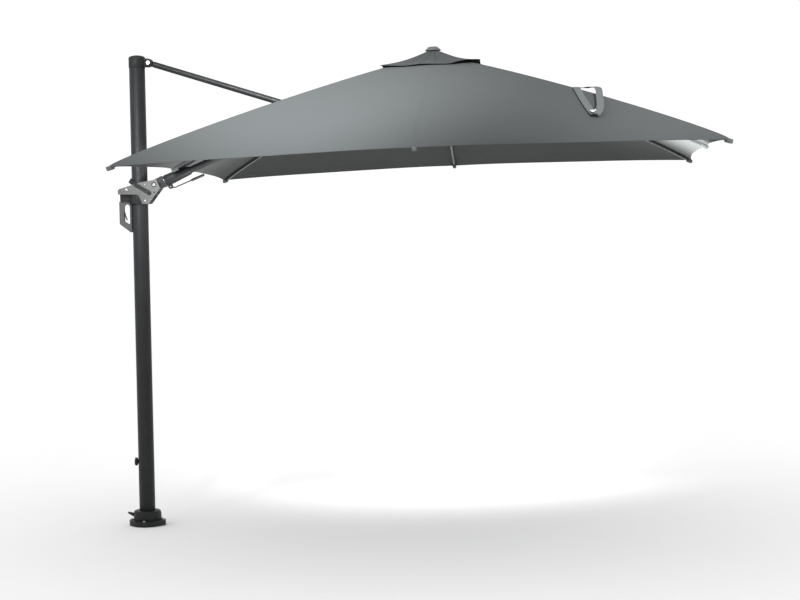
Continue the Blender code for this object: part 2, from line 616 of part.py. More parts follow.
def runner():
    """The lower ring, held only by the eight stretchers: one row of slots for the sides, one for the corners."""
    tube_r, lug_r, half = 0.0600, 0.0850, 0.0080
    high, low = CORNER_RING_Z + half, MID_RING_Z - half
    profile = [
        (0.0460, high + 0.006), (tube_r, high + 0.006), (tube_r, high), (lug_r, high), (lug_r, high - 2 * half),
        (tube_r, high - 2 * half), (tube_r, low + 2 * half), (lug_r, low + 2 * half), (lug_r, low), (tube_r, low),
        (tube_r, low - 0.006), (0.0460, low - 0.006),
    ]
    body = turned("runner", profile, "black_plastic", parent=CROWN_FRAME, closed=True)
    for name, degrees, _ in RIBS:
        boolean(body, box(f"lug_slot_{name}", (0.0625, -0.0048, low - 0.02), (0.12, 0.0048, high + 0.02), None,
                          direction(degrees), CROWN_FRAME))
    boolean(body, box("twin_slot", (-0.12, -0.0490, low - 0.02), (-0.0680, 0.0490, low + 2 * half + 0.02), None,
                      Matrix(), CROWN_FRAME))


def rib_matrix(degrees, angle):
    """A rib's frame: its origin on its pin, its X along the rib."""
    return direction(degrees) @ at(RIB_PIN_R, turn_y=angle)


def rib_outline(length, reach, bow=RIB_BOW):
    """Side view of an arched rib: a round root, a boss below for the stretcher's pin and a tapered tip."""
    half = RIB_D / 2
    steps = 14
    tip = length - 0.03
    stations = [tip * i / steps for i in range(1, steps + 1)]
    low, high = [], []
    for x in stations:
        rise = arch(x / length, bow)
        high.append((x, rise + half))
        if abs(x - reach) > 0.02:
            low.append((x, rise - half))
    under = arch(reach / length, bow) - half
    boss = [(reach - 0.0180, under)] + arc(reach, 0, RIB_BOSS, 180, 360, 6) + [(reach + 0.0180, under)]
    low = [point for point in low if point[0] < reach] + boss + [point for point in low if point[0] > reach]
    return arc(0, 0, half, 90, 270, 6) + low + [(length, -half * 0.3), (length, half * 0.6)] + high[::-1]


def plain_rib(name, degrees, corner):
    angle = CORNER_ANGLE if corner else MID_ANGLE
    reach = CORNER_REACH if corner else MID_REACH
    end = (CORNER_END if corner else MID_END) - RIB_PIN_R
    outline = rib_outline(end / math.cos(angle), reach)
    plate(f"rib_{name}", [outline], RIB_W, "rib_alloy", rib_matrix(degrees, angle), CROWN_FRAME)


def forked_rib(name, degrees):
    """The rib above the boom: one root, a cross bar, and two bars that leave room for the boom and the strut."""
    length = (MID_END - RIB_PIN_R) / math.cos(MID_ANGLE)
    where = rib_matrix(degrees, MID_ANGLE)
    outer = TINE_Y + RIB_W / 2
    clear = RIB_BOW + RIB_D
    rib = plate(f"rib_{name}", [rib_outline(length, MID_REACH, FORKED_BOW)], 2 * outer, "rib_alloy", where, CROWN_FRAME)
    boolean(rib, box("fork_inside", (FORK_AT + RIB_W, -outer + RIB_W, -clear), (length + RIB_W, outer - RIB_W, clear),
                     None, where, CROWN_FRAME))
    for side, low, high in (("near", -0.1, -RIB_W / 2), ("far", RIB_W / 2, 0.1)):
        boolean(rib, box(f"root_{side}", (-clear, low, -clear), (FORK_AT, high, clear), None, where, CROWN_FRAME))


def stretcher_matrix(degrees, angle, reach):
    """A stretcher's frame: its origin on its pin in the rib, its X towards the runner."""
    return rib_matrix(degrees, angle) @ at(reach) @ Matrix.Rotation(math.pi - 2 * angle, 4, "Y")


def plain_stretcher(name, degrees, corner):
    """A thin bar with a long fork at its outer end that straddles the rib."""
    angle = CORNER_ANGLE if corner else MID_ANGLE
    reach = CORNER_REACH if corner else MID_REACH
    where = stretcher_matrix(degrees, angle, reach)
    half = 0.0060
    outline = arc(0, 0, half, 90, 270, 6) + arc(reach, 0, half, -90, 90, 6)
    bar = plate(f"stretcher_{name}", [outline], 0.0080, "rib_alloy", where, CROWN_FRAME)
    fork = arc(0, 0, half, 90, 270, 6) + [(0.1080, -half), (0.1080, half)]
    boolean(bar, plate(f"stretcher_fork_{name}", [fork], RIB_W + 0.0060, None, where, CROWN_FRAME), "UNION")
    boolean(bar, box(f"stretcher_gap_{name}", (-0.03, -RIB_W / 2 - GAP, -0.03), (0.0950, RIB_W / 2 + GAP, 0.03), None,
                     where, CROWN_FRAME))


def twin_stretcher(name, degrees):
    """Two bars inside the forked rib's tines, joined by a cross bar at the runner."""
    where = stretcher_matrix(degrees, MID_ANGLE, MID_REACH)
    half, outer, inner = 0.0060, 0.0480, 0.0400
    outline = arc(0, 0, half, 90, 270, 6) + arc(MID_REACH, 0, half, -90, 90, 6)
    bar = plate(f"stretcher_{name}", [outline], 2 * outer, "rib_alloy", where, CROWN_FRAME)
    boolean(bar, box("twin_gap", (-0.03, -inner, -0.03), (MID_REACH - 0.0060, inner, 0.03), None, where, CROWN_FRAME))


# ---- canopy ------------------------------------------------------------------------------------------------
def cloth_point(share, degrees):
    """A point of the cloth: share runs from the apex, 0, to the hem, 1, in the given direction."""
    octant = degrees % 90
    if octant > 45:
        octant = 90 - octant
    across = math.tan(math.radians(octant))          # 0 on a side's middle, 1 on a corner
    pull = 1 - SCALLOP * 4 * across * (1 - across)
    reach = HALF_SIDE * pull * share / math.cos(math.radians(octant))
    tip = MID_TIP_Z + (CORNER_TIP_Z - MID_TIP_Z) * across
    height = APEX_RISE + (tip - APEX_RISE) * share * pull + arch(share, CLOTH_BOW)
    a = math.radians(degrees)
    return Vector((reach * math.cos(a), reach * math.sin(a), height))


def canopy_sector(name, degrees, corner):
    """The cloth on one rib, out to the middle of the panel on each side."""
    mid = math.degrees(math.atan(0.5))               # direction of a hem's quarter point
    if corner:
        half_turns = [-(45 - mid), -(45 - mid) * 0.66, -(45 - mid) * 0.33, 0]
    else:
        half_turns = [-mid, -mid * 0.66, -mid * 0.33, 0]
    turns = half_turns + [-t for t in half_turns[-2::-1]]
    shares = [VENT_START, 0.12, 0.17, 0.23, 0.31, 0.42, 0.54, 0.66, 0.76, 0.84, 0.90, 0.94, 0.97, 0.985, 1.0]
    mesh = bpy.data.meshes.new(f"canopy_{name}")
    points = []
    for share in shares:
        for turn in turns:
            point = cloth_point(share, degrees + turn)
            if abs(turn) == abs(turns[0]):
                side = Vector((math.sin(math.radians(degrees + turn)), -math.cos(math.radians(degrees + turn)), 0))
                point += side * (math.copysign(GAP, turn))
            points.append(point)
    columns = len(turns)
    faces = []
    for row in range(len(shares) - 1):
        for col in range(columns - 1):
            first = row * columns + col
            faces.append((first, first + columns, first + columns + 1, first + 1))
    mesh.from_pydata(points, [], faces)
    sheet = new_object(f"canopy_{name}", mesh, "cloth", Matrix(), CROWN_FRAME)
    skin = sheet.modifiers.new("thickness", "SOLIDIFY")
    skin.thickness = CLOTH_T
    skin.offset = -1.0
    if name == "left":
        boolean(sheet, box("strut_opening", (-0.8550, -0.0420, -0.6), (-0.6950, 0.0420, 0.1), None, Matrix(),
                           CROWN_FRAME))


def vent_cap():
    """A small square of cloth over the canopy's open top, its hem just above the panels."""
    sides = 16
    collar_r, crown_z, lift = 0.0450, 0.0620, 0.0100
    hole = [(0.0080, crown_z), (collar_r, crown_z)]
    points, faces = [], []
    for r, z in hole:
        points += [(r * math.cos(math.tau * i / sides), r * math.sin(math.tau * i / sides), z) for i in range(sides)]
    for share in (0.5, 1.0):
        for i in range(sides):
            degrees = 360 * i / sides
            end = cloth_point(VENT_HALF / HALF_SIDE, degrees) + Vector((0, 0, lift))
            start = Vector((collar_r * math.cos(math.radians(degrees)), collar_r * math.sin(math.radians(degrees)),
                            crown_z))
            point = start.lerp(end, share)
            points.append(point + Vector((0, 0, 0.006 if share == 0.5 else 0.0)))
    for row in range(3):
        for i in range(sides):
            j = (i + 1) % sides
            faces.append((row * sides + i, (row + 1) * sides + i, (row + 1) * sides + j, row * sides + j))
    mesh = bpy.data.meshes.new("vent_cap")
    mesh.from_pydata([tuple(p) for p in points], [], faces)
    cap = new_object("vent_cap", mesh, "cloth", Matrix(), CROWN_FRAME)
    skin = cap.modifiers.new("thickness", "SOLIDIFY")
    skin.thickness = CLOTH_T
    skin.offset = -1.0


def finial():
    """A shallow cone on a post, a little above the vent cap."""
    low, high = 0.0730, 0.0950
    profile = [(0.0, high), (0.0245, high), (0.0265, high - 0.002), (0.0450, low + 0.003), (0.0440, low),
               (0.0060, low), (0.0060, HUB_BOSS_TOP + GAP), (0.0, HUB_BOSS_TOP + GAP)]
    turned("finial", profile, "grip_plastic", parent=CROWN_FRAME)


# ---- build -------------------------------------------------------------------------------------------------
foot_flange()
swivel_housing()
swivel_bearing()
index_ring()
foot_pedal()
pedal_pin()
mast_tube()
mast_spigot()
mast_cap()
strut_bolt()
lock_knob()
slider_body()
slide_bushes()
cheeks()
handle_grip()
trigger()
trigger_pin()
brake_plunger()
bail()
knuckle_block()
knuckle_pin()
boom_collar()
boom_sleeve()
boom_tube()
roll_lever()
lever_pin()
index_plunger()
strut_tube()
strut_fork()
crown_hub()
crown_pin()
runner()
for rib_name, rib_direction, at_corner in RIBS:
    if rib_name == "left":
        forked_rib(rib_name, rib_direction)
        twin_stretcher(rib_name, rib_direction)
    else:
        plain_rib(rib_name, rib_direction, at_corner)
        plain_stretcher(rib_name, rib_direction, at_corner)
    canopy_sector(rib_name, rib_direction, at_corner)
vent_cap()
finial()
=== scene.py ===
"""Cantilever parasol: the finished surfaces, cloth and fittings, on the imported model's frame."""
import json
import math

import bmesh
import bpy
from bpy.props import FloatProperty, FloatVectorProperty, IntProperty, PointerProperty
from mathutils import Matrix, Vector


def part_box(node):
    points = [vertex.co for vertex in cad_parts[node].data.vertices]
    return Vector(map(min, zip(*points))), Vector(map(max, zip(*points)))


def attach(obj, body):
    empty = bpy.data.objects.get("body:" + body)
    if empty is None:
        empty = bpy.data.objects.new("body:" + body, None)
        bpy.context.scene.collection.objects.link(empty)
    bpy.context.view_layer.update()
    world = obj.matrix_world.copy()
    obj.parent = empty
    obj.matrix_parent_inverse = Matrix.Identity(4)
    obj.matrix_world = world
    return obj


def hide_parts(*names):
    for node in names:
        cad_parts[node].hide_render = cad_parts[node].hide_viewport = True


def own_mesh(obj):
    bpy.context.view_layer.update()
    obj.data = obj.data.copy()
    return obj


bl_info = {
    "name": "Cantilever parasol",
    "version": (1, 0, 0),
    "blender": (4, 5, 0),
    "location": "View3D > Sidebar > Parasol",
    "description": "Builds the cloth, fittings and finishes of a cantilever parasol on its frame",
    "category": "Object",
}

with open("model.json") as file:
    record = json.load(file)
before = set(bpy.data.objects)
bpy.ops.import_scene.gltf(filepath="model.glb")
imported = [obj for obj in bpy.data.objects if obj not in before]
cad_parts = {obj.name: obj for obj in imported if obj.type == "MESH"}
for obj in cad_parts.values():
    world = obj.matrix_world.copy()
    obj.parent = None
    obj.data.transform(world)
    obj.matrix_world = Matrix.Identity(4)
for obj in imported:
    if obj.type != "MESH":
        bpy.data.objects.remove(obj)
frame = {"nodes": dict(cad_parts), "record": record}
JOINTS = {joint["name"]: joint for joint in frame["record"]["behaviour"]["joints"]}


def joint_at(name):
    return Vector(JOINTS[name]["pos_m"])


# ---- places read from the frame ----
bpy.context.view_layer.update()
CROWN = joint_at("hub_level")
DROP = Vector(JOINTS["runner_drop"]["axis"])
CROWN_TILT = math.atan2(DROP.x, -DROP.z)
CROWN_FRAME = Matrix.Translation(CROWN) @ Matrix.Rotation(-CROWN_TILT, 4, "Y")
BOOM_PIVOT = Vector((0.0954, 0.0, 1.9411))  # the bolt through the side plates; no joint stands there
BOOM_AXIS = Vector(JOINTS["boom_roll"]["axis"])
BOOM_ANGLE = math.atan2(BOOM_AXIS.z, BOOM_AXIS.x)
BOOM_FRAME = Matrix.Translation(BOOM_PIVOT) @ Matrix.Rotation(-BOOM_ANGLE, 4, "Y")
KNOB = joint_at("knob_turn")
CHEEK_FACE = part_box("cheek_near")[0][1]
MAST_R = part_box("mast_tube")[1][0]
MAST_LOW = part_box("mast_tube")[0][2]
MAST_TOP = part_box("mast_tube")[1][2]
MAST_WALL = 0.0025
FOOT_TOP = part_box("foot_flange")[1][2]
FOOT_BOLT_CIRCLE = 0.0915
BAIL_ANGLE = math.radians(148.6)  # from its pivot it slopes back and up
BAIL_LENGTH = 0.1487
RIB_PIN_R = (joint_at("rib_fold_far") - CROWN).length

# ---- the cloth's shape, in the crown's own frame ----
HALF_SIDE = 1.5
APEX_RISE = 0.042  # the apex above the ribs' pins
MID_TIP_Z = -0.5226  # the cloth at the middle of a side, below the pins
CORNER_TIP_Z = -0.5525  # the cloth at a corner, below the pins
SCALLOP = 0.022  # how far a hem is pulled in between two ribs
BOW = 0.041  # how far the cloth arches above the line from the apex to its hem
BOW_POWER = 0.6  # under 1, the arch rises early and is flat on top
VENT_START = 0.08  # the share of each panel left open under the vent cap
VENT_HALF = 0.275  # half the vent cap's side
SEAM_HALF = 0.009  # half a felled seam's width
HEM = 0.013  # the hem's depth
RIB_DROP = 0.013  # a rib's axis below the cloth at its tip
TINE_Y = 0.057  # the forked rib's two bars, either side of the boom
FORKED_PIN_Y = 0.0515  # and the two short stretcher pins in them
SLOT_ENDS = (-0.855, -0.695)
SLOT_HALF = 0.034

# name, direction in degrees, and whether it runs to a corner
RIBS = [
    ("right", 0, False), ("far_right", 45, True), ("far", 90, False), ("far_left", 135, True),
    ("left", 180, False), ("near_left", 225, True), ("near", 270, False), ("near_right", 315, True),
]

# ---- sewing ----
STITCHES = 280.0  # in a metre
STITCH_SHARE = 0.66  # how much of each stitch's length is thread
STITCH_INSET = 0.0025  # a row of stitches in from its seam's or hem's edge
STITCH_HALF = 0.0005  # half a stitch's width
STITCH_SOFT = 0.0002  # how far its edge fades, each way
SOFT = 0.001  # how far a folded edge fades, each way
STRAP_WIDTH = 0.035
TAB_WIDTH = 0.030
# the strap's middle line: x and y in the crown's frame, and how far it lies above the cloth
STRAP_ROUTE = [
    (0.775, -0.700, 0.006), (0.785, -0.800, 0.008), (0.810, -0.950, 0.009), (0.838, -1.090, 0.010),
    (0.860, -1.180, 0.012), (0.874, -1.222, 0.022), (0.892, -1.205, 0.034), (0.898, -1.120, 0.028),
    (0.898, -1.000, 0.024), (0.896, -0.900, 0.026), (0.886, -0.830, 0.036), (0.862, -0.770, 0.034),
    (0.825, -0.725, 0.018), (0.792, -0.700, 0.009),
]
TAB_ROUTE = [(0.858, -1.150, 0.0155), (0.874, -1.196, 0.0225), (0.892, -1.185, 0.0290)]

# ---- shading and meshing ----
SHARP = math.radians(35)  # castings and turned pieces: steeper edges stay crisp
CLOTH_SHARP = math.radians(50)  # cloth: only a cut edge stays crisp
WELD = 0.00002  # points of a CAD mesh closer than this are one
CLOTH_WELD = 0.0001
FLAT = math.radians(0.5)  # flatter joints between faces are dissolved

# ---- studio ----
FLOOR_RADIUS = 90.0
FLOOR_DROP = 0.0002
LAMP_RADIUS = 0.45
# name: place, target, cone in degrees, the setting for its power, and a share of that
LAMPS = {
    "key": ((0.3, -5.4, 4.8), (1.08, -0.9, 2.4), 25, "key", 1),
    "side": ((4.2, -5.6, 4.4), (2.85, -1.1, 2.25), 19, "side", 1),
    "mast": ((-1.5, -4.0, 3.6), (0.0, 0.0, 2.2), 40, "mast", 1),
    "under_left": ((2.6, -1.6, 0.3), (0.42, 0.1, 2.1), 26, "under", 1),
    "under_right": ((0.8, -1.2, 0.3), (3.0, 0.2, 2.12), 28, "under", 4),
}
CAMERA_PLACE = (2.4523, -10.2700, 1.7018)
CAMERA_ANGLES = (-5.447, -2.411, -1.029)  # yaw, pitch and roll in degrees
CAMERA_LENS = 82.67
CAMERA_SENSOR = 36.0


# ---- settings ----
def colour_setting(name, description, default):
    return FloatVectorProperty(name=name, description=description, default=default, size=3, min=0.0, max=1.0,
                               subtype="COLOR")


def length_setting(name, description, default):
    return FloatProperty(name=name, description=description, default=default, min=0.0, unit="LENGTH",
                         subtype="DISTANCE")


def power_setting(name, description, default):
    return FloatProperty(name=name, description=description, default=default, unit="POWER")


class ParasolClothSettings(bpy.types.PropertyGroup):
    outside: colour_setting("Outside", "Colour of the canopy's upper side", (0.076, 0.083, 0.085))
    # painted shade: the cap is the canopy's own cloth in a darker colour, standing in for the shade over it
    cap: colour_setting("Cap", "Colour of the vent cap's upper side", (0.050, 0.055, 0.056))
    inside: colour_setting("Inside", "Colour of the canopy's lower side", (0.074, 0.079, 0.077))
    strap: colour_setting("Strap", "Colour of the tie strap", (0.085, 0.094, 0.095))
    tab: colour_setting("Tab", "Colour of the tab in the strap's fold", (0.66, 0.62, 0.74))
    sag: length_setting("Sag", "How far a panel hangs between two ribs", 0.012)
    thickness: length_setting("Thickness", "Thickness of the cloth", 0.0012)
    rows: IntProperty(name="Rows", description="Faces from the crown to the hem", default=46, min=8, max=120)
    columns: IntProperty(name="Columns", description="Faces on each side of a rib", default=16, min=4, max=60)


class ParasolMetalSettings(bpy.types.PropertyGroup):
    graphite: colour_setting("Graphite", "Colour of the coated tubes", (0.016, 0.017, 0.018))
    casting: colour_setting("Castings", "Colour of the black castings", (0.010, 0.0105, 0.011))
    cheek: colour_setting("Side plates", "Colour of the speckled side plates", (0.105, 0.108, 0.108))
    zinc: colour_setting("Zinc", "Colour of pins, bolts and rivets", (0.50, 0.50, 0.50))
    alloy: colour_setting("Ribs", "Colour of the anodised ribs", (0.16, 0.165, 0.17))
    edge: length_setting("Edge", "Width of the rounded edges on castings", 0.0012)


class ParasolPlasticSettings(bpy.types.PropertyGroup):
    black: colour_setting("Black", "Colour of levers, knob and runner", (0.010, 0.010, 0.0105))
    grip: colour_setting("Grip", "Colour of the handle and finial", (0.009, 0.0095, 0.010))


class ParasolStageSettings(bpy.types.PropertyGroup):
    floor: colour_setting("Floor", "Colour of the floor", (0.97, 0.97, 0.97))
    world: FloatProperty(name="Room light", description="Even light from all round", default=1.05, min=0.0)
    key: power_setting("Key light", "Soft light from the front left", 4600.0)
    side: power_setting("Side light", "Soft light from the right", 2100.0)
    mast: power_setting("Mast light", "Soft light on the mast's head", 420.0)
    under: power_setting("Under light", "Soft light below the canopy", 1500.0)


def cloth_settings():
    return bpy.context.scene.parasol_cloth


def metal_settings():
    return bpy.context.scene.parasol_metal


def plastic_settings():
    return bpy.context.scene.parasol_plastic


def stage_settings():
    return bpy.context.scene.parasol_stage


# ---- materials ----
class Surface:
    """A material in the making: a Principled shader and short ways to add the nodes that drive it."""

    def __init__(self, name, colour, roughness, metallic=0.0, specular=0.5):
        self.material = bpy.data.materials.new(name)
        self.material.use_nodes = True
        self.tree = self.material.node_tree
        self.shader = self.tree.nodes["Principled BSDF"]
        self.output = self.tree.nodes["Material Output"]
        self.colour = tuple(colour)
        self.bumps = None
        self.set(self.shader, "Base Color", (*self.colour, 1.0))
        self.set(self.shader, "Roughness", roughness)
        self.set(self.shader, "Metallic", metallic)
        self.set(self.shader, "Specular IOR Level", specular)

    def set(self, node, socket, value):
        if isinstance(value, bpy.types.NodeSocket):
            self.tree.links.new(value, node.inputs[socket])
        else:
            node.inputs[socket].default_value = value

    def add(self, kind, sockets=None, **settings):
        node = self.tree.nodes.new(kind)
        for key, value in settings.items():
            setattr(node, key, value)
        for key, value in (sockets or {}).items():
            self.set(node, key, value)
        return node

    def math(self, operation, first, second=0.0):
        return self.add("ShaderNodeMath", {0: first, 1: second}, operation=operation).outputs[0]

    def place(self, scale=(1, 1, 1), uv=None):
        """Object coordinates, or a UV map's, in metres times the scale."""
        if uv:
            source = self.add("ShaderNodeUVMap", uv_map=uv).outputs["UV"]
        else:
            source = self.add("ShaderNodeTexCoord").outputs["Object"]
        return self.add("ShaderNodeMapping", {"Vector": source, "Scale": scale}).outputs["Vector"]

    def noise(self, scale, detail=2.0, where=None):
        sockets = {"Vector": where or self.place(), "Scale": scale, "Detail": detail}
        return self.add("ShaderNodeTexNoise", sockets).outputs["Fac"]

    def spread(self, value, low, high, to_low=0.0, to_high=1.0):
        """The value's low to high stretched over to_low to to_high, and held there."""
        sockets = {"Value": value, "From Min": low, "From Max": high, "To Min": to_low, "To Max": to_high}
        return self.add("ShaderNodeMapRange", sockets).outputs["Result"]

    def tint(self, amount, colour, under=None):
        """The colour laid over what is there, by the amount."""
        mix = self.add("ShaderNodeMix", data_type="RGBA")
        self.set(mix, 0, amount)
        self.set(mix, 6, under or (*self.colour, 1.0))
        self.set(mix, 7, (*colour, 1.0))
        return mix.outputs[2]

    def paint(self, socket):
        self.set(self.shader, "Base Color", socket)

    def bump(self, height, distance, strength=1.0):
        """A relief on top of those added before it."""
        sockets = {"Height": height, "Distance": distance, "Strength": strength}
        node = self.add("ShaderNodeBump", sockets)
        if self.bumps:
            self.set(node, "Normal", self.bumps)
        self.bumps = node.outputs["Normal"]
        self.set(self.shader, "Normal", self.bumps)

    def worn_edges(self, colour, under, low=0.53, high=0.62):
        """A paler tone where an edge stands out."""
        edge = self.add("ShaderNodeNewGeometry").outputs["Pointiness"]
        patches = self.spread(self.noise(90.0), 0.42, 0.62)
        patchy = self.math("MULTIPLY", self.spread(edge, low, high), patches)
        return self.tint(patchy, colour, under)


def lighter(colour, share):
    return tuple(min(1.0, value * share) for value in colour)


def coated_tube():
    """Satin powder coat: fine orange peel, and a little dust lying on it."""
    base = metal_settings().graphite
    look = Surface("coated_tube", base, 0.42, 0.0, 0.20)
    cloudy = look.spread(look.noise(9.0, 4.0), 0.35, 0.70)
    look.paint(look.tint(look.math("MULTIPLY", cloudy, 0.5), lighter(base, 1.5)))
    look.set(look.shader, "Roughness", look.spread(look.noise(35.0, 3.0), 0.30, 0.70, 0.36, 0.50))
    look.bump(look.noise(900.0, 1.0), 0.0002, 0.35)
    return look.material


def black_casting():
    """Sand-textured black coat on a casting, rubbed a little at its edges."""
    base = metal_settings().casting
    look = Surface("black_casting", base, 0.52, 0.0, 0.22)
    grain = look.noise(480.0, 3.0)
    toned = look.tint(look.spread(grain, 0.45, 0.75), lighter(base, 1.9))
    look.paint(look.worn_edges(lighter(base, 5.0), toned))
    look.bump(grain, 0.0004, 0.45)
    return look.material


def speckled_plate():
    """Grey textured coat with dark and pale specks."""
    base = metal_settings().cheek
    look = Surface("speckled_plate", base, 0.58, 0.0, 0.3)
    speck = look.noise(620.0, 2.0)
    dark = look.tint(look.spread(speck, 0.56, 0.64), lighter(base, 0.35))
    pale = look.tint(look.spread(look.noise(380.0, 2.0), 0.60, 0.68), lighter(base, 1.8), dark)
    look.paint(look.worn_edges(lighter(base, 1.7), pale, 0.55, 0.66))
    look.bump(speck, 0.0003, 0.4)
    return look.material


def moulded(name, base, grain_scale, roughness):
    """Moulded plastic with a spark-eroded grain."""
    look = Surface(name, base, roughness, 0.0, 0.25)
    grain = look.noise(grain_scale, 2.0)
    toned = look.tint(look.spread(look.noise(14.0, 3.0), 0.40, 0.75), lighter(base, 1.6))
    look.paint(look.worn_edges(lighter(base, 3.0), toned))
    look.set(look.shader, "Roughness", look.spread(grain, 0.35, 0.65, roughness - 0.06, roughness + 0.08))
    look.bump(grain, 0.0002, 0.4)
    return look.material


def zinc_plate():
    """Dull plated steel with cloudy patches."""
    base = metal_settings().zinc
    look = Surface("zinc_plate", base, 0.32, 1.0)
    look.paint(look.tint(look.spread(look.noise(220.0, 3.0), 0.40, 0.65), lighter(base, 0.7)))
    look.set(look.shader, "Roughness", look.spread(look.noise(140.0, 2.0), 0.3, 0.7, 0.24, 0.44))
    look.bump(look.noise(1500.0, 1.0), 0.00005, 0.3)
    return look.material


def anodised_rib():
    """Dark anodised extrusion with fine draw lines and a few scuffs."""
    base = metal_settings().alloy
    look = Surface("anodised_rib", base, 0.40, 0.85)
    scuff = look.spread(look.noise(60.0, 5.0), 0.58, 0.72)
    look.paint(look.tint(look.math("MULTIPLY", scuff, 0.4), lighter(base, 1.8)))
    look.set(look.shader, "Roughness", look.spread(look.noise(25.0, 4.0), 0.3, 0.7, 0.34, 0.50))
    look.bump(look.noise(700.0, 1.0), 0.0001, 0.25)
    return look.material


def canopy_cloth(name, base, shine_through=0.22):
    """Woven cloth: threads, slubs, faded patches, felled seams over the ribs and a stitched hem.

    Its UV map "cloth" runs across and along the rib, and "edge" in from the hem and along it, all in metres.
    """
    look = Surface(name, base, 0.90, 0.0, 0.12)
    look.set(look.shader, "Sheen Weight", 0.04)
    look.set(look.shader, "Sheen Roughness", 0.5)
    across = look.add("ShaderNodeSeparateXYZ", {0: look.place(uv="cloth")})
    edge = look.add("ShaderNodeSeparateXYZ", {0: look.place(uv="edge")})
    side = look.math("ABSOLUTE", across.outputs["X"])
    along = across.outputs["Y"]
    hem = edge.outputs["X"]
    slub = look.noise(1.0, 3.0, look.place((900, 18, 1), uv="cloth"))
    weft = look.noise(1.0, 3.0, look.place((22, 1100, 1), uv="cloth"))
    threads = look.math("ADD", slub, weft)
    faded = look.spread(look.noise(1.7, 4.0), 0.30, 0.72)
    toned = look.tint(look.spread(threads, 0.80, 1.20, 0.0, 0.22), lighter(base, 1.35))
    toned = look.tint(look.math("MULTIPLY", faded, 0.25), lighter(base, 1.12), toned)
    seam = look.spread(side, SEAM_HALF + SOFT, SEAM_HALF - SOFT)
    band = look.spread(hem, HEM + SOFT, HEM - SOFT)
    folded = look.math("MAXIMUM", seam, band)

    def stitches(distance, middle, run):
        """A row of stitches at a distance from the middle of a seam or from the hem."""
        off_line = look.math("ABSOLUTE", look.math("SUBTRACT", distance, middle))
        on = look.math("LESS_THAN", look.math("FRACT", look.math("MULTIPLY", run, STITCHES)), STITCH_SHARE)
        thread = look.spread(off_line, STITCH_HALF + STITCH_SOFT, STITCH_HALF - STITCH_SOFT)
        return look.math("MULTIPLY", thread, on)

    stitch_seam = stitches(side, SEAM_HALF - STITCH_INSET, along)
    stitch_hem = stitches(hem, HEM - STITCH_INSET, edge.outputs["Y"])
    stitch = look.math("MAXIMUM", stitch_seam, stitch_hem)
    toned = look.tint(look.math("MULTIPLY", folded, 0.10), lighter(base, 0.80), toned)
    toned = look.tint(look.math("MULTIPLY", stitch, 0.35), lighter(base, 0.55), toned)
    look.paint(toned)
    look.bump(folded, 0.0008, 0.5)
    look.bump(stitch, 0.0004, 0.4)
    look.bump(look.noise(6.0, 3.0), 0.0060, 0.18)
    look.bump(threads, 0.0002, 0.30)
    glow = look.add("ShaderNodeBsdfTranslucent", {"Color": toned, "Normal": look.bumps})
    mixed = look.add("ShaderNodeMixShader", {0: shine_through, 1: look.shader.outputs[0], 2: glow.outputs[0]})
    look.set(look.output, "Surface", mixed.outputs[0])
    return look.material


def webbing():
    """Woven tape: a slanted rib along its length and a thick edge."""
    base = cloth_settings().strap
    look = Surface("webbing", base, 0.80, 0.0, 0.3)
    where = look.add("ShaderNodeSeparateXYZ", {0: look.place(uv="cloth")})
    side = look.math("ABSOLUTE", where.outputs["X"])
    ribs_in_a_metre = 420.0
    forward = look.math("MULTIPLY", where.outputs["Y"], ribs_in_a_metre)
    slanted = look.math("ADD", forward, look.math("MULTIPLY", side, ribs_in_a_metre))
    ribs = look.math("PINGPONG", slanted, 0.5)
    selvedge = look.spread(side, STRAP_WIDTH / 2 - 0.003, STRAP_WIDTH / 2 - 0.001)
    toned = look.tint(look.spread(ribs, 0.1, 0.5), lighter(base, 1.35))
    look.paint(look.tint(look.math("MULTIPLY", selvedge, 0.5), lighter(base, 1.5), toned))
    look.bump(ribs, 0.0006, 0.6)
    return look.material


def strap_tab():
    """Smooth pale tape with a fine weave."""
    base = cloth_settings().tab
    look = Surface("strap_tab", base, 0.7, 0.0, 0.3)
    weave = look.noise(1.0, 2.0, look.place((900, 900, 1), uv="cloth"))
    look.paint(look.tint(look.spread(weave, 0.4, 0.6, 0.0, 0.3), lighter(base, 0.85)))
    look.bump(weave, 0.0002, 0.4)
    return look.material


def studio_floor():
    """Pale matt floor, very slightly uneven in tone."""
    look = Surface("studio_floor", stage_settings().floor, 0.9, 0.0, 0.1)
    cloudy = look.spread(look.noise(0.8, 3.0), 0.3, 0.8, 0.0, 0.15)
    look.paint(look.tint(cloudy, (0.92, 0.92, 0.92)))
    return look.material


MAKERS = {
    "coated_tube": coated_tube,
    "black_casting": black_casting,
    "speckled_plate": speckled_plate,
    "black_plastic": lambda: moulded("black_plastic", plastic_settings().black, 700.0, 0.46),
    "grip_plastic": lambda: moulded("grip_plastic", plastic_settings().grip, 420.0, 0.58),
    "zinc_plate": zinc_plate,
    "anodised_rib": anodised_rib,
    "cloth_outside": lambda: canopy_cloth("cloth_outside", cloth_settings().outside),
    # the cap's cloth is the canopy's cloth with its colour darkened as painted shade
    "cloth_cap_painted_shade": lambda: canopy_cloth("cloth_cap_painted_shade", cloth_settings().cap),
    "cloth_inside": lambda: canopy_cloth("cloth_inside", cloth_settings().inside),
    "webbing": webbing,
    "strap_tab": strap_tab,
    "studio_floor": studio_floor,
}


def finish(name):
    """The finish's material, made the first time it is asked for."""
    return bpy.data.materials.get(name) or MAKERS[name]()


# ---- ways of making a piece ----
def deselect():
    if bpy.context.mode != "OBJECT":
        bpy.ops.object.mode_set(mode="OBJECT")
    bpy.ops.object.select_all(action="DESELECT")


def only(obj):
    deselect()
    obj.select_set(True)
    bpy.context.view_layer.objects.active = obj


def edit(obj, select="SELECT"):
    """Opens the piece in edit mode, with all of it selected, or with nothing."""
    only(obj)
    bpy.ops.object.mode_set(mode="EDIT")
    bpy.ops.mesh.select_all(action=select)


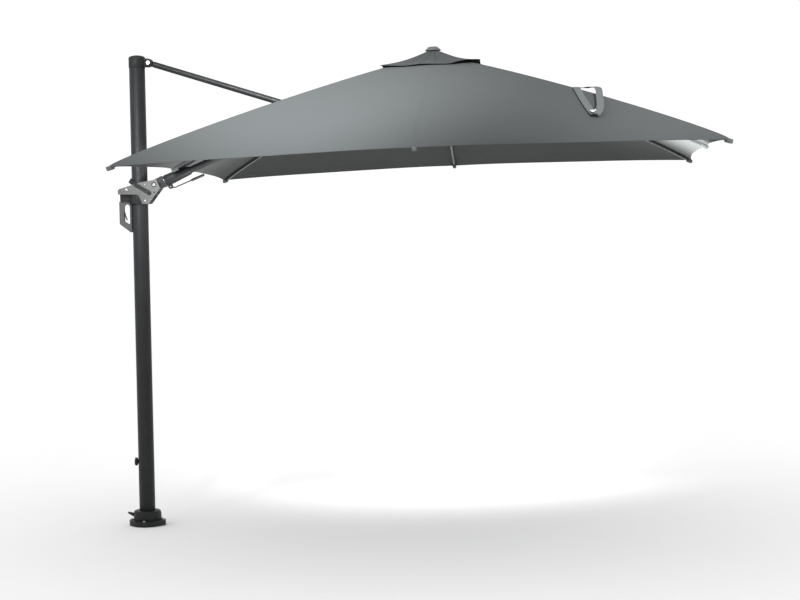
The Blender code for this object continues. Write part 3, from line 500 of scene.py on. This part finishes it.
def apply_all(obj):
    """Applies the piece's modifiers."""
    only(obj)
    for modifier in list(obj.modifiers):
        bpy.ops.object.modifier_apply(modifier=modifier.name)


def to_place(obj, matrix):
    """Moves the piece by the matrix and puts the whole of its place into its mesh."""
    obj.matrix_world = matrix @ obj.matrix_world
    only(obj)
    bpy.ops.object.transform_apply(location=True, rotation=True, scale=True)


def dress(obj, finish_name, body, *nodes):
    """The piece's finish, the body it rides on and the CAD nodes it stands for."""
    obj.data.materials.clear()
    obj.data.materials.append(finish(finish_name))
    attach(obj, body)
    if nodes:
        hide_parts(*nodes)


def shade(obj, sharp):
    """Smooth shading, except over edges steeper than the sharp angle."""
    only(obj)
    bpy.ops.object.shade_smooth_by_angle(angle=sharp)


def soften(obj, width):
    """Rounded edges and smooth shading between sharp ones."""
    if width > 0:
        bevel = obj.modifiers.new("edges", "BEVEL")
        bevel.width = width
        bevel.segments = 2
        bevel.limit_method = "ANGLE"
        bevel.angle_limit = SHARP
        apply_all(obj)
    shade(obj, SHARP)


def lathe(name, profile, matrix, sides=48):
    """A turned piece: a disc extruded and resized up a list of (radius, height), then closed."""
    deselect()
    radius, height = profile[0]
    bpy.ops.mesh.primitive_circle_add(vertices=sides, radius=radius, fill_type="NGON",
                                      location=(0, 0, height))
    obj = bpy.context.object
    obj.name = name
    edit(obj)
    for next_radius, next_height in profile[1:]:
        move = (0, 0, next_height - height)
        bpy.ops.mesh.extrude_region_move(TRANSFORM_OT_translate={"value": move})
        scale = next_radius / radius
        bpy.ops.transform.resize(value=(scale, scale, 1), center_override=(0, 0, next_height))
        radius, height = next_radius, next_height
    bpy.ops.mesh.select_all(action="SELECT")
    bpy.ops.mesh.normals_make_consistent(inside=False)
    bpy.ops.object.mode_set(mode="OBJECT")
    to_place(obj, matrix)
    shade(obj, SHARP)
    return obj


def block(name, low, high, matrix, edge):
    """A cuboid between two corners, with rounded edges."""
    low, high = Vector(low), Vector(high)
    deselect()
    bpy.ops.mesh.primitive_cube_add(size=1.0, location=(low + high) / 2)
    obj = bpy.context.object
    obj.name = name
    edit(obj)
    bpy.ops.transform.resize(value=tuple(high - low), center_override=tuple((low + high) / 2))
    bpy.ops.object.mode_set(mode="OBJECT")
    to_place(obj, matrix)
    soften(obj, edge)
    return obj


def copy_of_node(node, name):
    """A whole mesh from a CAD node's loose triangles, flat faces joined again."""
    mesh = frame["nodes"][node].data.copy()
    obj = bpy.data.objects.new(name, mesh)
    bpy.context.scene.collection.objects.link(obj)
    edit(obj)
    bpy.ops.mesh.remove_doubles(threshold=WELD)
    bpy.ops.mesh.dissolve_limited(angle_limit=FLAT)
    bpy.ops.object.mode_set(mode="OBJECT")
    return obj


def grid_piece(name, points, columns, uvs, materials, edges=None):
    """A sheet from rows of points, with its UV maps and its materials."""
    mesh = bpy.data.meshes.new(name)
    faces = []
    for row in range(len(points) // columns - 1):
        for col in range(columns - 1):
            first = row * columns + col
            faces.append((first, first + columns, first + columns + 1, first + 1))
    mesh.from_pydata([tuple(p) for p in points], [], faces)
    for title, values in (("cloth", uvs), ("edge", edges or uvs)):
        layer = mesh.uv_layers.new(name=title)
        for loop in mesh.loops:
            layer.data[loop.index].uv = values[loop.vertex_index]
    for material in materials:
        mesh.materials.append(material)
    mesh.shade_smooth()
    obj = bpy.data.objects.new(name, mesh)
    bpy.context.scene.collection.objects.link(obj)
    return obj


def join_ends(obj):
    """Welds a sheet that comes round to meet itself, and turns all its faces one way."""
    edit(obj)
    bpy.ops.mesh.remove_doubles(threshold=CLOTH_WELD)
    bpy.ops.mesh.normals_make_consistent(inside=False)
    bpy.ops.object.mode_set(mode="OBJECT")


def area_of(obj):
    return sum(face.area for face in obj.data.polygons)


def thicken(obj, thickness, inside_slot):
    """Gives a sheet its thickness, below the side it was laid out on."""
    skin = obj.modifiers.new("thickness", "SOLIDIFY")
    skin.thickness = thickness
    skin.offset = -1.0
    skin.material_offset = inside_slot
    apply_all(obj)
    shade(obj, CLOTH_SHARP)


# ---- cloth ----
def cloth_point(share, degrees, sag=0.0):
    """A point of the canopy in the crown's frame: share runs from its apex, 0, to its hem, 1."""
    octant = degrees % 90
    if octant > 45:
        octant = 90 - octant
    across = math.tan(math.radians(octant))
    pull = 1 - SCALLOP * 4 * across * (1 - across)
    reach = HALF_SIDE * pull * share / math.cos(math.radians(octant))
    tip = MID_TIP_Z + (CORNER_TIP_Z - MID_TIP_Z) * across
    height = APEX_RISE + (tip - APEX_RISE) * share * pull
    height += BOW * (4 * share * (1 - share)) ** BOW_POWER
    height -= sag * math.sin(math.pi * across) ** 2 * share * (1.25 - 0.75 * share)
    turn = math.radians(degrees)
    return Vector((reach * math.cos(turn), reach * math.sin(turn), height))


def on_cloth(x, y, lift=0.0):
    """The place on the stretched cloth above x and y of the crown's frame."""
    wide, narrow = max(abs(x), abs(y)), min(abs(x), abs(y))
    across = narrow / wide
    share = wide / (HALF_SIDE * (1 - SCALLOP * 4 * across * (1 - across)))
    height = cloth_point(min(share, 1.0), math.degrees(math.atan2(y, x)), cloth_settings().sag).z
    return CROWN_FRAME @ Vector((x, y, height + lift))


def sector_half(corner):
    """Half a sector's angle in degrees: its edge lies halfway from a side's middle to a corner."""
    quarter = math.degrees(math.atan(0.5))
    return 45 - quarter if corner else quarter


def strut_slot_cutter():
    """A long round-ended plug in the shape of the strut's hole."""
    start, end = SLOT_ENDS
    middle = (start + SLOT_HALF, 0, -0.25)
    deselect()
    bpy.ops.mesh.primitive_cylinder_add(vertices=32, radius=SLOT_HALF, depth=0.6, location=middle)
    cutter = bpy.context.object
    edit(cutter, "DESELECT")
    # half of the cylinder is drawn out to the slot's other end
    form = bmesh.from_edit_mesh(cutter.data)
    for vert in form.verts:
        vert.select = vert.co.x > -0.0001
    form.select_flush_mode()
    bmesh.update_edit_mesh(cutter.data)
    bpy.ops.transform.translate(value=(end - start - 2 * SLOT_HALF, 0, 0))
    bpy.ops.object.mode_set(mode="OBJECT")
    to_place(cutter, CROWN_FRAME)
    return cutter


def slot_binding():
    """The tape that binds the strut's hole, laid on the cloth along its rim."""
    first, last = SLOT_ENDS[0] + SLOT_HALF, SLOT_ENDS[1] - SLOT_HALF
    steps, rows = 15, 3
    rim = []
    for centre, start in ((first, math.pi / 2), (last, -math.pi / 2)):
        for i in range(steps + 1):
            turn = start + math.pi * i / steps
            rim.append((centre + SLOT_HALF * math.cos(turn), SLOT_HALF * math.sin(turn)))
    count = len(rim) + 1
    width, thickness, overhang = 0.012, 0.0014, 0.0015
    lift, swell, length = 0.0006, 0.0008, 0.26
    points, uvs = [], []
    for row in range(rows + 1):
        for i in range(count):
            x, y = rim[i % len(rim)]
            nearest = Vector((min(max(x, first), last), 0))
            out = (Vector((x, y)) - nearest).normalized()
            spot = Vector((x, y)) + out * (width * row / rows - overhang)
            points.append(on_cloth(spot.x, spot.y, lift + swell * math.sin(math.pi * row / rows)))
            uvs.append((width * (row / rows - 0.5), length * i / count))
    obj = grid_piece("slot_binding", points, count, uvs, [finish("webbing")])
    join_ends(obj)
    thicken(obj, thickness, 0)
    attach(obj, "rib_body_left")
    return obj


def canopy_panel(name, degrees, corner):
    """The cloth over one rib, out to the middle of the panels beside it, where it runs into the next."""
    settings = cloth_settings()
    half = sector_half(corner)
    columns = 2 * settings.columns + 1
    rib = Vector((math.cos(math.radians(degrees)), math.sin(math.radians(degrees)), 0))
    beside = Vector((-rib.y, rib.x, 0))
    points, uvs, edges = [], [], []
    for row in range(settings.rows + 1):
        share = VENT_START + (1 - VENT_START) * row / settings.rows
        for col in range(columns):
            turn = half * (2 * col / (columns - 1) - 1)
            local = cloth_point(share, degrees + turn, settings.sag)
            points.append(CROWN_FRAME @ local)
            hem = cloth_point(1.0, degrees + turn, settings.sag)
            uvs.append((local.dot(beside), local.dot(rib)))
            edges.append(((hem - local).length, hem.dot(beside)))
    materials = [finish("cloth_outside"), finish("cloth_inside")]
    obj = grid_piece(f"canopy_cloth_{name}", points, columns, uvs, materials, edges)
    thicken(obj, settings.thickness, 1)
    if name == "left":
        cutter = strut_slot_cutter()
        hole = obj.modifiers.new("hole", "BOOLEAN")
        hole.object = cutter
        apply_all(obj)
        bpy.data.objects.remove(cutter)
        slot_binding()
    anchor = CROWN_FRAME @ cloth_point(0.5, degrees)
    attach(obj, f"rib_body_{name}")
    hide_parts(f"canopy_{name}")
    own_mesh(obj)


def near_corner(degrees, corner, cutoff):
    """1 at the corner's direction, falling to 0 where the cosine of the angle from it is the cutoff."""
    return max(0.0, math.cos(math.radians(degrees - corner)) - cutoff) / (1 - cutoff)


def vent_cloth():
    """The loose square over the open top, gathered under the finial, with a fluted hem."""
    settings = cloth_settings()
    rows, sides = 20, 144
    collar, top = 0.030, 0.0715  # the finial's neck, in the crown's frame
    points, uvs, edges = [], [], []
    for row in range(rows + 1):
        share = row / rows
        for i in range(sides + 1):
            degrees = 360.0 * (i % sides) / sides
            turn = math.radians(degrees)
            corner = math.tan(math.radians(min(degrees % 90, 90 - degrees % 90)))
            hem = cloth_point(VENT_HALF / HALF_SIDE, degrees)
            flute = 0.5 + 0.5 * math.cos(8 * turn + 0.9)
            hem.z += 0.007 + 0.011 * flute * (0.4 + 0.6 * corner)
            hem.z += 0.011 * near_corner(degrees, 314, 0.93) + 0.004 * near_corner(degrees, 226, 0.95)
            start = Vector((collar * math.cos(turn), collar * math.sin(turn), top))
            spot = start.lerp(hem, share)
            middle = math.sin(math.pi * share)
            gather = 0.0050 * math.sin(16 * turn + 0.7) * math.sin(math.pi * share ** 0.6)
            belly = -middle * (0.012 + 0.004 * corner)
            fold = 0.0060 * math.cos(6 * turn + 0.4) * middle * share
            spot.z += gather + belly + fold
            points.append(CROWN_FRAME @ spot)
            uvs.append((spot.y, spot.x))
            edges.append(((hem - spot).length, turn * 0.3))
    # painted shade: the cap's upper side is the canopy's cloth made darker
    materials = [finish("cloth_cap_painted_shade"), finish("cloth_inside")]
    obj = grid_piece("vent_cloth", points, sides + 1, uvs, materials, edges)
    join_ends(obj)
    if sum(face.normal.z for face in obj.data.polygons) < 0:
        obj.data.flip_normals()
    thicken(obj, settings.thickness, 1)
    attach(obj, "hub")
    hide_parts("vent_cap")
    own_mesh(obj)


def smooth_path(route, steps=6):
    """A smooth line through the route's points, as cubic curves between them."""
    path = []
    for i in range(len(route) - 1):
        before, after = route[max(i - 1, 0)], route[min(i + 2, len(route) - 1)]
        a, b = route[i], route[i + 1]
        out_a, in_b = (b - before) / 2, (after - a) / 2
        for k in range(steps):
            t = k / steps
            path.append(a * (2 * t ** 3 - 3 * t ** 2 + 1) + out_a * (t ** 3 - 2 * t ** 2 + t)
                        + b * (3 * t ** 2 - 2 * t ** 3) + in_b * (t ** 3 - t ** 2))
    return path + [route[-1]]


def ribbon(name, path, width, thickness, material, wide=Vector((1, 0, 0))):
    """A flat tape along a path, its width lying along the given direction."""
    across = 5
    points, uvs = [], []
    length = 0.0
    for i, spot in enumerate(path):
        ahead = (path[min(i + 1, len(path) - 1)] - path[max(i - 1, 0)]).normalized()
        side = (wide - ahead * wide.dot(ahead)).normalized()
        if i:
            length += (spot - path[i - 1]).length
        for k in range(across):
            offset = width * (k / (across - 1) - 0.5)
            points.append(spot + side * offset)
            uvs.append((offset, length))
    obj = grid_piece(name, points, across, uvs, [material])
    area = area_of(obj)
    thicken(obj, thickness, 0)
    return obj, area


def tie_strap():
    """The strap that ties the closed canopy: a loop of tape over a corner rib, a pale tab in its fold."""
    route = smooth_path([on_cloth(*place) for place in STRAP_ROUTE])
    strap, area = ribbon("tie_strap", route, STRAP_WIDTH, 0.0018, finish("webbing"))
    tab_route = smooth_path([on_cloth(*place) for place in TAB_ROUTE])
    tab, _ = ribbon("strap_tab", tab_route, TAB_WIDTH, 0.0010, finish("strap_tab"))
    for piece in (strap, tab):
        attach(piece, "rib_body_near_right")


# ---- operators ----
class PARASOL_OT_canopy(bpy.types.Operator):
    """Stretch the canopy's cloth over its eight ribs"""
    bl_idname = "parasol.canopy"
    bl_label = "Canopy"

    def execute(self, context):
        for name, degrees, corner in RIBS:
            canopy_panel(name, degrees, corner)
        return {"FINISHED"}


class PARASOL_OT_vent_cap(bpy.types.Operator):
    """Lay the loose cap over the canopy's open top"""
    bl_idname = "parasol.vent_cap"
    bl_label = "Vent cap"

    def execute(self, context):
        vent_cloth()
        return {"FINISHED"}


class PARASOL_OT_tie_strap(bpy.types.Operator):
    """Loop the tie strap over the near right hip"""
    bl_idname = "parasol.tie_strap"
    bl_label = "Tie strap"

    def execute(self, context):
        tie_strap()
        return {"FINISHED"}


class PARASOL_OT_tubes(bpy.types.Operator):
    """Make the mast a smooth round tube with a rolled top"""
    bl_idname = "parasol.tubes"
    bl_label = "Mast tube"

    def execute(self, context):
        inner, rim = MAST_R - MAST_WALL, MAST_R - 0.0006
        profile = [(inner, MAST_TOP - 0.02), (inner, MAST_LOW), (rim, MAST_LOW), (MAST_R, MAST_LOW + 0.001),
                   (MAST_R, MAST_TOP - 0.001), (rim, MAST_TOP), (inner, MAST_TOP), (inner, MAST_TOP - 0.02)]
        mast = lathe("mast_skin", profile, Matrix(), 96)
        # the profile is a closed ring, so the lathe's two end faces go
        edit(mast, "DESELECT")
        form = bmesh.from_edit_mesh(mast.data)
        caps = [face for face in form.faces if len(face.verts) > 4]
        bmesh.ops.delete(form, geom=caps, context="FACES_ONLY")
        bmesh.update_edit_mesh(mast.data)
        bpy.ops.mesh.select_all(action="SELECT")
        bpy.ops.mesh.remove_doubles(threshold=WELD)
        bpy.ops.mesh.normals_make_consistent(inside=False)
        bpy.ops.object.mode_set(mode="OBJECT")
        dress(mast, "coated_tube", "mast", "mast_tube")
        return {"FINISHED"}


# CAD node: finish, body, and its rounded edge as a share of the castings' edge setting
REFINED = {
    "boom_tube": ("coated_tube", "boom", 0.0),
    "strut_tube": ("coated_tube", "strut", 0.0),
    "foot_flange": ("black_casting", "base", 2.2),
    "swivel_housing": ("black_casting", "base", 1.2),
    "foot_pedal": ("black_casting", "pedal", 0.8),
    "mast_cap": ("black_casting", "mast", 1.0),
    "slider_body": ("black_casting", "slider", 0.8),
    "knuckle_block": ("black_casting", "carrier", 1.0),
    "boom_collar": ("black_casting", "carrier", 0.6),
    "boom_sleeve": ("black_casting", "boom", 0.8),
    "strut_fork": ("black_casting", "strut", 1.0),
    "cheek_near": ("speckled_plate", "slider", 1.0),
    "cheek_far": ("speckled_plate", "slider", 1.0),
    "handle_grip": ("grip_plastic", "slider", 2.6),
    "trigger": ("black_plastic", "trigger_bar", 0.6),
    "roll_lever": ("black_plastic", "lever", 0.3),
    "runner": ("black_plastic", "runner_body", 0.6),
    "finial": ("grip_plastic", "hub", 0.8),
    "crown_hub": ("anodised_rib", "hub", 0.5),
}

# CAD nodes that keep their shape and only take the finish
PLAIN = {
    "zinc_plate": ["swivel_bearing", "index_ring", "pedal_pin", "mast_spigot", "strut_bolt", "trigger_pin",
                   "brake_plunger", "knuckle_pin", "lever_pin", "index_plunger", "crown_pin"],
    "black_plastic": ["slide_bush_lower", "slide_bush_upper"],
    "anodised_rib": [f"{kind}_{name}" for kind in ("rib", "stretcher") for name, _, _ in RIBS],
}


def bail_strap():
    """The strap bent round the mast's rear in one smooth bend, with an eye on each cheek."""
    pivot = joint_at("bail_press")
    inset = 0.002
    half_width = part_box("bail")[1][1] - inset
    reach = BAIL_LENGTH - inset
    frame_of_bail = Matrix.Translation(pivot) @ Matrix.Rotation(-BAIL_ANGLE, 4, "Y")
    straight, steps = reach - half_width, 24
    flat = [Vector((0, -half_width, 0)), Vector((0.5 * straight, -half_width, 0))]
    for i in range(steps + 1):
        turn = math.pi * i / steps - math.pi / 2
        flat.append(Vector((straight + half_width * math.cos(turn), half_width * math.sin(turn), 0)))
    flat += [Vector((0.5 * straight, half_width, 0)), Vector((0, half_width, 0))]
    path = [frame_of_bail @ point for point in flat]
    across = frame_of_bail.to_3x3() @ Vector((0, 0, 1))
    width, thickness = 0.0240, 0.0036
    strap, _ = ribbon("bail_bent", path, width, thickness, finish("black_casting"), across)
    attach(strap, "bail_strap")
    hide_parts("bail")
    eye = [(0.0124, -0.0018), (0.0124, 0.0018), (0.0112, 0.0026), (0.0060, 0.0026), (0.0054, 0.0016),
           (0.0006, 0.0016)]
    for side, y in (("near", -half_width), ("far", half_width)):
        way = 90 if side == "near" else -90
        spot = frame_of_bail @ Matrix.Translation((0, y, 0)) @ Matrix.Rotation(math.radians(way), 4, "X")
        dress(lathe(f"bail_eye_{side}", eye, spot, 32), "black_casting", "bail_strap")


class PARASOL_OT_castings(bpy.types.Operator):
    """Give castings, levers and the handle their rounded edges and finishes"""
    bl_idname = "parasol.castings"
    bl_label = "Castings and levers"

    def execute(self, context):
        edge = metal_settings().edge
        for node, (finish_name, body, share) in REFINED.items():
            piece = copy_of_node(node, f"{node}_finished")
            soften(piece, edge * share)
            dress(piece, finish_name, body, node)
        bail_strap()
        for finish_name, nodes in PLAIN.items():
            for node in nodes:
                data = frame["nodes"][node].data
                data.materials.clear()
                data.materials.append(finish(finish_name))
        return {"FINISHED"}


def out_of_plate(side, x, z):
    """A place on a side plate's outer face, its Z pointing away from the plate."""
    face, turn = (CHEEK_FACE, 90) if side == "near" else (-CHEEK_FACE, -90)
    return Matrix.Translation((x, face, z)) @ Matrix.Rotation(math.radians(turn), 4, "X")


# name: x, z, radius of the head, finish
RIVETS = {
    "rivet_rear": (-0.0637, 1.9159, 0.0075, "zinc_plate"),
    "rivet_front": (0.0428, 1.9410, 0.0050, "zinc_plate"),
    "rivet_low": (0.0968, 1.8984, 0.0045, "black_casting"),
    "rivet_foot": (0.0424, 1.8509, 0.0060, "zinc_plate"),
}


class PARASOL_OT_rivets(bpy.types.Operator):
    """Set rivets, bolt heads and washers on the slider's side plates"""
    bl_idname = "parasol.rivets"
    bl_label = "Rivets and bolt heads"

    def execute(self, context):
        washer = [(0.0138, -0.001), (0.0138, 0.0012), (0.0130, 0.0018), (0.0106, 0.0018), (0.0102, 0.0010),
                  (0.0010, 0.0010)]
        head = [(0.0094, 0.0008), (0.0094, 0.0036), (0.0084, 0.0046), (0.0050, 0.0046), (0.0046, 0.0026),
                (0.0006, 0.0026)]
        for side in ("near", "far"):
            for name, (x, z, radius, finish_name) in RIVETS.items():
                profile = [(radius, -0.001), (radius, 0.0006), (0.86 * radius, 0.0016),
                           (0.5 * radius, 0.0023), (0.1 * radius, 0.0025)]
                dress(lathe(f"{name}_{side}", profile, out_of_plate(side, x, z), 24), finish_name, "slider")
            pivot = out_of_plate(side, BOOM_PIVOT.x, BOOM_PIVOT.z)
            dress(lathe(f"pivot_washer_{side}", washer, pivot, 40), "black_casting", "slider")
            dress(lathe(f"pivot_head_{side}", head, pivot, 24), "zinc_plate", "slider")
        return {"FINISHED"}


def across_rib(degrees):
    """Turns a piece made along Z so that it lies across a rib."""
    return Matrix.Rotation(math.radians(degrees), 4, "Z") @ Matrix.Rotation(math.pi / 2, 4, "X")


def tip_cap(name, degrees, corner):
    """The cap in the hem that a rib's tip sits in; the forked rib has two."""
    reach = HALF_SIDE * math.sqrt(2) if corner else HALF_SIDE
    tip = CROWN_FRAME @ cloth_point(1.0, degrees)
    slope = math.atan2((CORNER_TIP_Z if corner else MID_TIP_Z) - RIB_DROP, reach - RIB_PIN_R)
    lean = Matrix.Rotation(math.radians(degrees), 4, "Z") @ Matrix.Rotation(-slope, 4, "Y")
    low, high = Vector((-0.036, -0.0110, -0.0200)), Vector((0.002, 0.0110, 0.0010))
    place = Matrix.Translation(tip) @ CROWN_FRAME.to_3x3().to_4x4() @ lean
    edge = 0.003
    if name == "left":
        for side, shift in (("near", -TINE_Y), ("far", TINE_Y)):
            moved = place @ Matrix.Translation((0, shift, 0))
            dress(block(f"tip_cap_left_{side}", low, high, moved, edge), "webbing", "rib_body_left")
    else:
        dress(block(f"tip_cap_{name}", low, high, place, edge), "webbing", f"rib_body_{name}")


def rib_pins(name, degrees):
    """The headed pins at a rib's root and at its stretcher's upper end."""
    body = f"rib_body_{name}"
    for kind, half, joint in (("root_pin", 0.0105, "rib_fold"), ("stretcher_pin", 0.0125, "stretcher_fold")):
        pin = [(0.0040, -half), (0.0040, 0.0016 - half), (0.0022, 0.0018 - half), (0.0022, half - 0.0018),
               (0.0040, half - 0.0016), (0.0040, half)]
        place = Matrix.Translation(joint_at(f"{joint}_{name}"))
        spot = place @ CROWN_FRAME.to_3x3().to_4x4() @ across_rib(degrees)
        if name == "left" and kind == "stretcher_pin":
            for side, shift in (("near", FORKED_PIN_Y), ("far", -FORKED_PIN_Y)):
                moved = spot @ Matrix.Translation((0, 0, shift))
                dress(lathe(f"{kind}_{name}_{side}", pin, moved, 16), "zinc_plate", body)
        else:
            dress(lathe(f"{kind}_{name}", pin, spot, 16), "zinc_plate", body)


def foot_bolts():
    """Four hexagon bolt heads on the foot's flange."""
    bolt = [(0.0088, 0.0), (0.0088, 0.0012), (0.0078, 0.0014), (0.0078, 0.0058), (0.0068, 0.0068),
            (0.0006, 0.0068)]
    for i in range(4):
        place = Matrix.Translation((FOOT_BOLT_CIRCLE, 0, FOOT_TOP))
        spot = Matrix.Rotation(math.tau * i / 4, 4, "Z") @ place
        dress(lathe(f"foot_bolt_{i + 1}", bolt, spot, 6), "zinc_plate", "base")


def fluted_knob():
    """The clamp knob, with eight shallow flutes round its rim."""
    stem = [(0.0058, 0.0425), (0.0058, 0.0458), (0.0110, 0.0460), (0.0110, 0.0500), (0.0200, 0.0505),
            (0.0232, 0.0530), (0.0240, 0.0555), (0.0240, 0.0600), (0.0228, 0.0630), (0.0200, 0.0640),
            (0.0150, 0.0636), (0.0050, 0.0630)]
    rim, flutes, depth = 0.0190, 8, 0.055
    knob = lathe("knob_fluted", stem, Matrix(), 96)
    for vert in knob.data.vertices:
        out = Vector((vert.co.x, vert.co.y, 0))
        if out.length > rim:
            flute = 1 - depth * (0.5 + 0.5 * math.cos(flutes * math.atan2(out.y, out.x)))
            vert.co.x *= flute
            vert.co.y *= flute
    to_place(knob, Matrix.Translation((0, 0, KNOB.z)) @ Matrix.Rotation(-math.pi / 2, 4, "Y"))
    dress(knob, "black_plastic", "knob", "lock_knob")


def sleeve_washer():
    """The thin ring between the knuckle and the boom's sleeve."""
    shim = [(0.0290, 0.0548), (0.0300, 0.0550), (0.0300, 0.0566), (0.0290, 0.0568), (0.0190, 0.0568)]
    around = BOOM_FRAME @ Matrix.Rotation(math.pi / 2, 4, "Y")
    dress(lathe("sleeve_washer", shim, around, 48), "zinc_plate", "carrier")


class PARASOL_OT_fittings(bpy.types.Operator):
    """Add the pins at the ribs' joints, their tip caps, the foot's bolts and the knob's flutes"""
    bl_idname = "parasol.fittings"
    bl_label = "Pins, caps, bolts and knob"

    def execute(self, context):
        for name, degrees, corner in RIBS:
            tip_cap(name, degrees, corner)
            rib_pins(name, degrees)
        foot_bolts()
        fluted_knob()
        sleeve_washer()
        return {"FINISHED"}


def floor():
    """A pale floor out to the horizon, just under the foot."""
    deselect()
    bpy.ops.mesh.primitive_circle_add(vertices=96, radius=FLOOR_RADIUS, fill_type="NGON",
                                      location=(0, 0, -FLOOR_DROP))
    obj = bpy.context.object
    obj.name = "studio_floor"
    obj.data.materials.append(finish("studio_floor"))


def room_light(strength):
    """Even white light from all round."""
    world = bpy.data.worlds.new("studio")
    world.use_nodes = True
    background = world.node_tree.nodes["Background"]
    background.inputs["Color"].default_value = (1.0, 1.0, 1.0, 1.0)
    background.inputs["Strength"].default_value = strength
    bpy.context.scene.world = world


def lamp(name, place, target, cone, power):
    """A soft-edged spotlight that points at the target."""
    place, target = Vector(place), Vector(target)
    deselect()
    bpy.ops.object.light_add(type="SPOT", location=place)
    obj = bpy.context.object
    obj.name = f"{name}_light"
    obj.data.energy = power
    obj.data.shadow_soft_size = LAMP_RADIUS
    obj.data.spot_size = math.radians(cone)
    obj.data.spot_blend = 1.0
    obj.rotation_euler = (target - place).to_track_quat("-Z", "Y").to_euler()


def camera():
    """The studio camera, turned by its yaw to the right, its pitch up and its roll."""
    bpy.ops.object.camera_add(location=CAMERA_PLACE)
    obj = bpy.context.object
    obj.name = "studio_camera"
    obj.data.lens = CAMERA_LENS
    obj.data.sensor_width = CAMERA_SENSOR
    yaw, pitch, roll = (math.radians(angle) for angle in CAMERA_ANGLES)
    ahead = Vector((math.sin(yaw) * math.cos(pitch), math.cos(yaw) * math.cos(pitch), math.sin(pitch)))
    level = Vector((math.cos(yaw), -math.sin(yaw), 0))
    up = level.cross(ahead)
    right = level * math.cos(roll) + up * math.sin(roll)
    above = up * math.cos(roll) - level * math.sin(roll)
    turn = Matrix((right, above, -ahead)).transposed()
    obj.matrix_world = Matrix.Translation(obj.location) @ turn.to_4x4()
    bpy.context.scene.camera = obj


class PARASOL_OT_stage(bpy.types.Operator):
    """Set the floor, the lights and the camera"""
    bl_idname = "parasol.stage"
    bl_label = "Stage"

    def execute(self, context):
        settings = stage_settings()
        floor()
        room_light(settings.world)
        for name, (place, target, cone, setting, share) in LAMPS.items():
            lamp(name, place, target, cone, share * getattr(settings, setting))
        camera()
        context.scene.view_settings.view_transform = "Standard"
        context.scene.view_settings.look = "None"
        return {"FINISHED"}


# the operators, in the order that the pieces are made
STEPS = ["stage", "tubes", "castings", "rivets", "fittings", "canopy", "vent_cap", "tie_strap"]


class PARASOL_PT_panel(bpy.types.Panel):
    """The parasol's pieces, in the order they are made"""
    bl_idname = "PARASOL_PT_panel"
    bl_label = "Cantilever parasol"
    bl_space_type = "VIEW_3D"
    bl_region_type = "UI"
    bl_category = "Parasol"

    def draw(self, context):
        for step in STEPS:
            self.layout.operator(f"parasol.{step}")
        for group in ("parasol_cloth", "parasol_metal", "parasol_plastic", "parasol_stage"):
            settings = getattr(context.scene, group)
            for key in settings.__annotations__:
                self.layout.prop(settings, key)


CLASSES = [
    ParasolClothSettings, ParasolMetalSettings, ParasolPlasticSettings, ParasolStageSettings,
    PARASOL_OT_stage, PARASOL_OT_tubes, PARASOL_OT_castings, PARASOL_OT_rivets, PARASOL_OT_fittings,
    PARASOL_OT_canopy, PARASOL_OT_vent_cap, PARASOL_OT_tie_strap, PARASOL_PT_panel,
]


def register():
    for item in CLASSES:
        bpy.utils.register_class(item)
    bpy.types.Scene.parasol_cloth = PointerProperty(type=ParasolClothSettings)
    bpy.types.Scene.parasol_metal = PointerProperty(type=ParasolMetalSettings)
    bpy.types.Scene.parasol_plastic = PointerProperty(type=ParasolPlasticSettings)
    bpy.types.Scene.parasol_stage = PointerProperty(type=ParasolStageSettings)


def unregister():
    del bpy.types.Scene.parasol_stage
    del bpy.types.Scene.parasol_plastic
    del bpy.types.Scene.parasol_metal
    del bpy.types.Scene.parasol_cloth
    for item in reversed(CLASSES):
        bpy.utils.unregister_class(item)


def main():
    register()
    for step in STEPS:
        getattr(bpy.ops.parasol, step)()


if __name__ == "__main__":
    main()
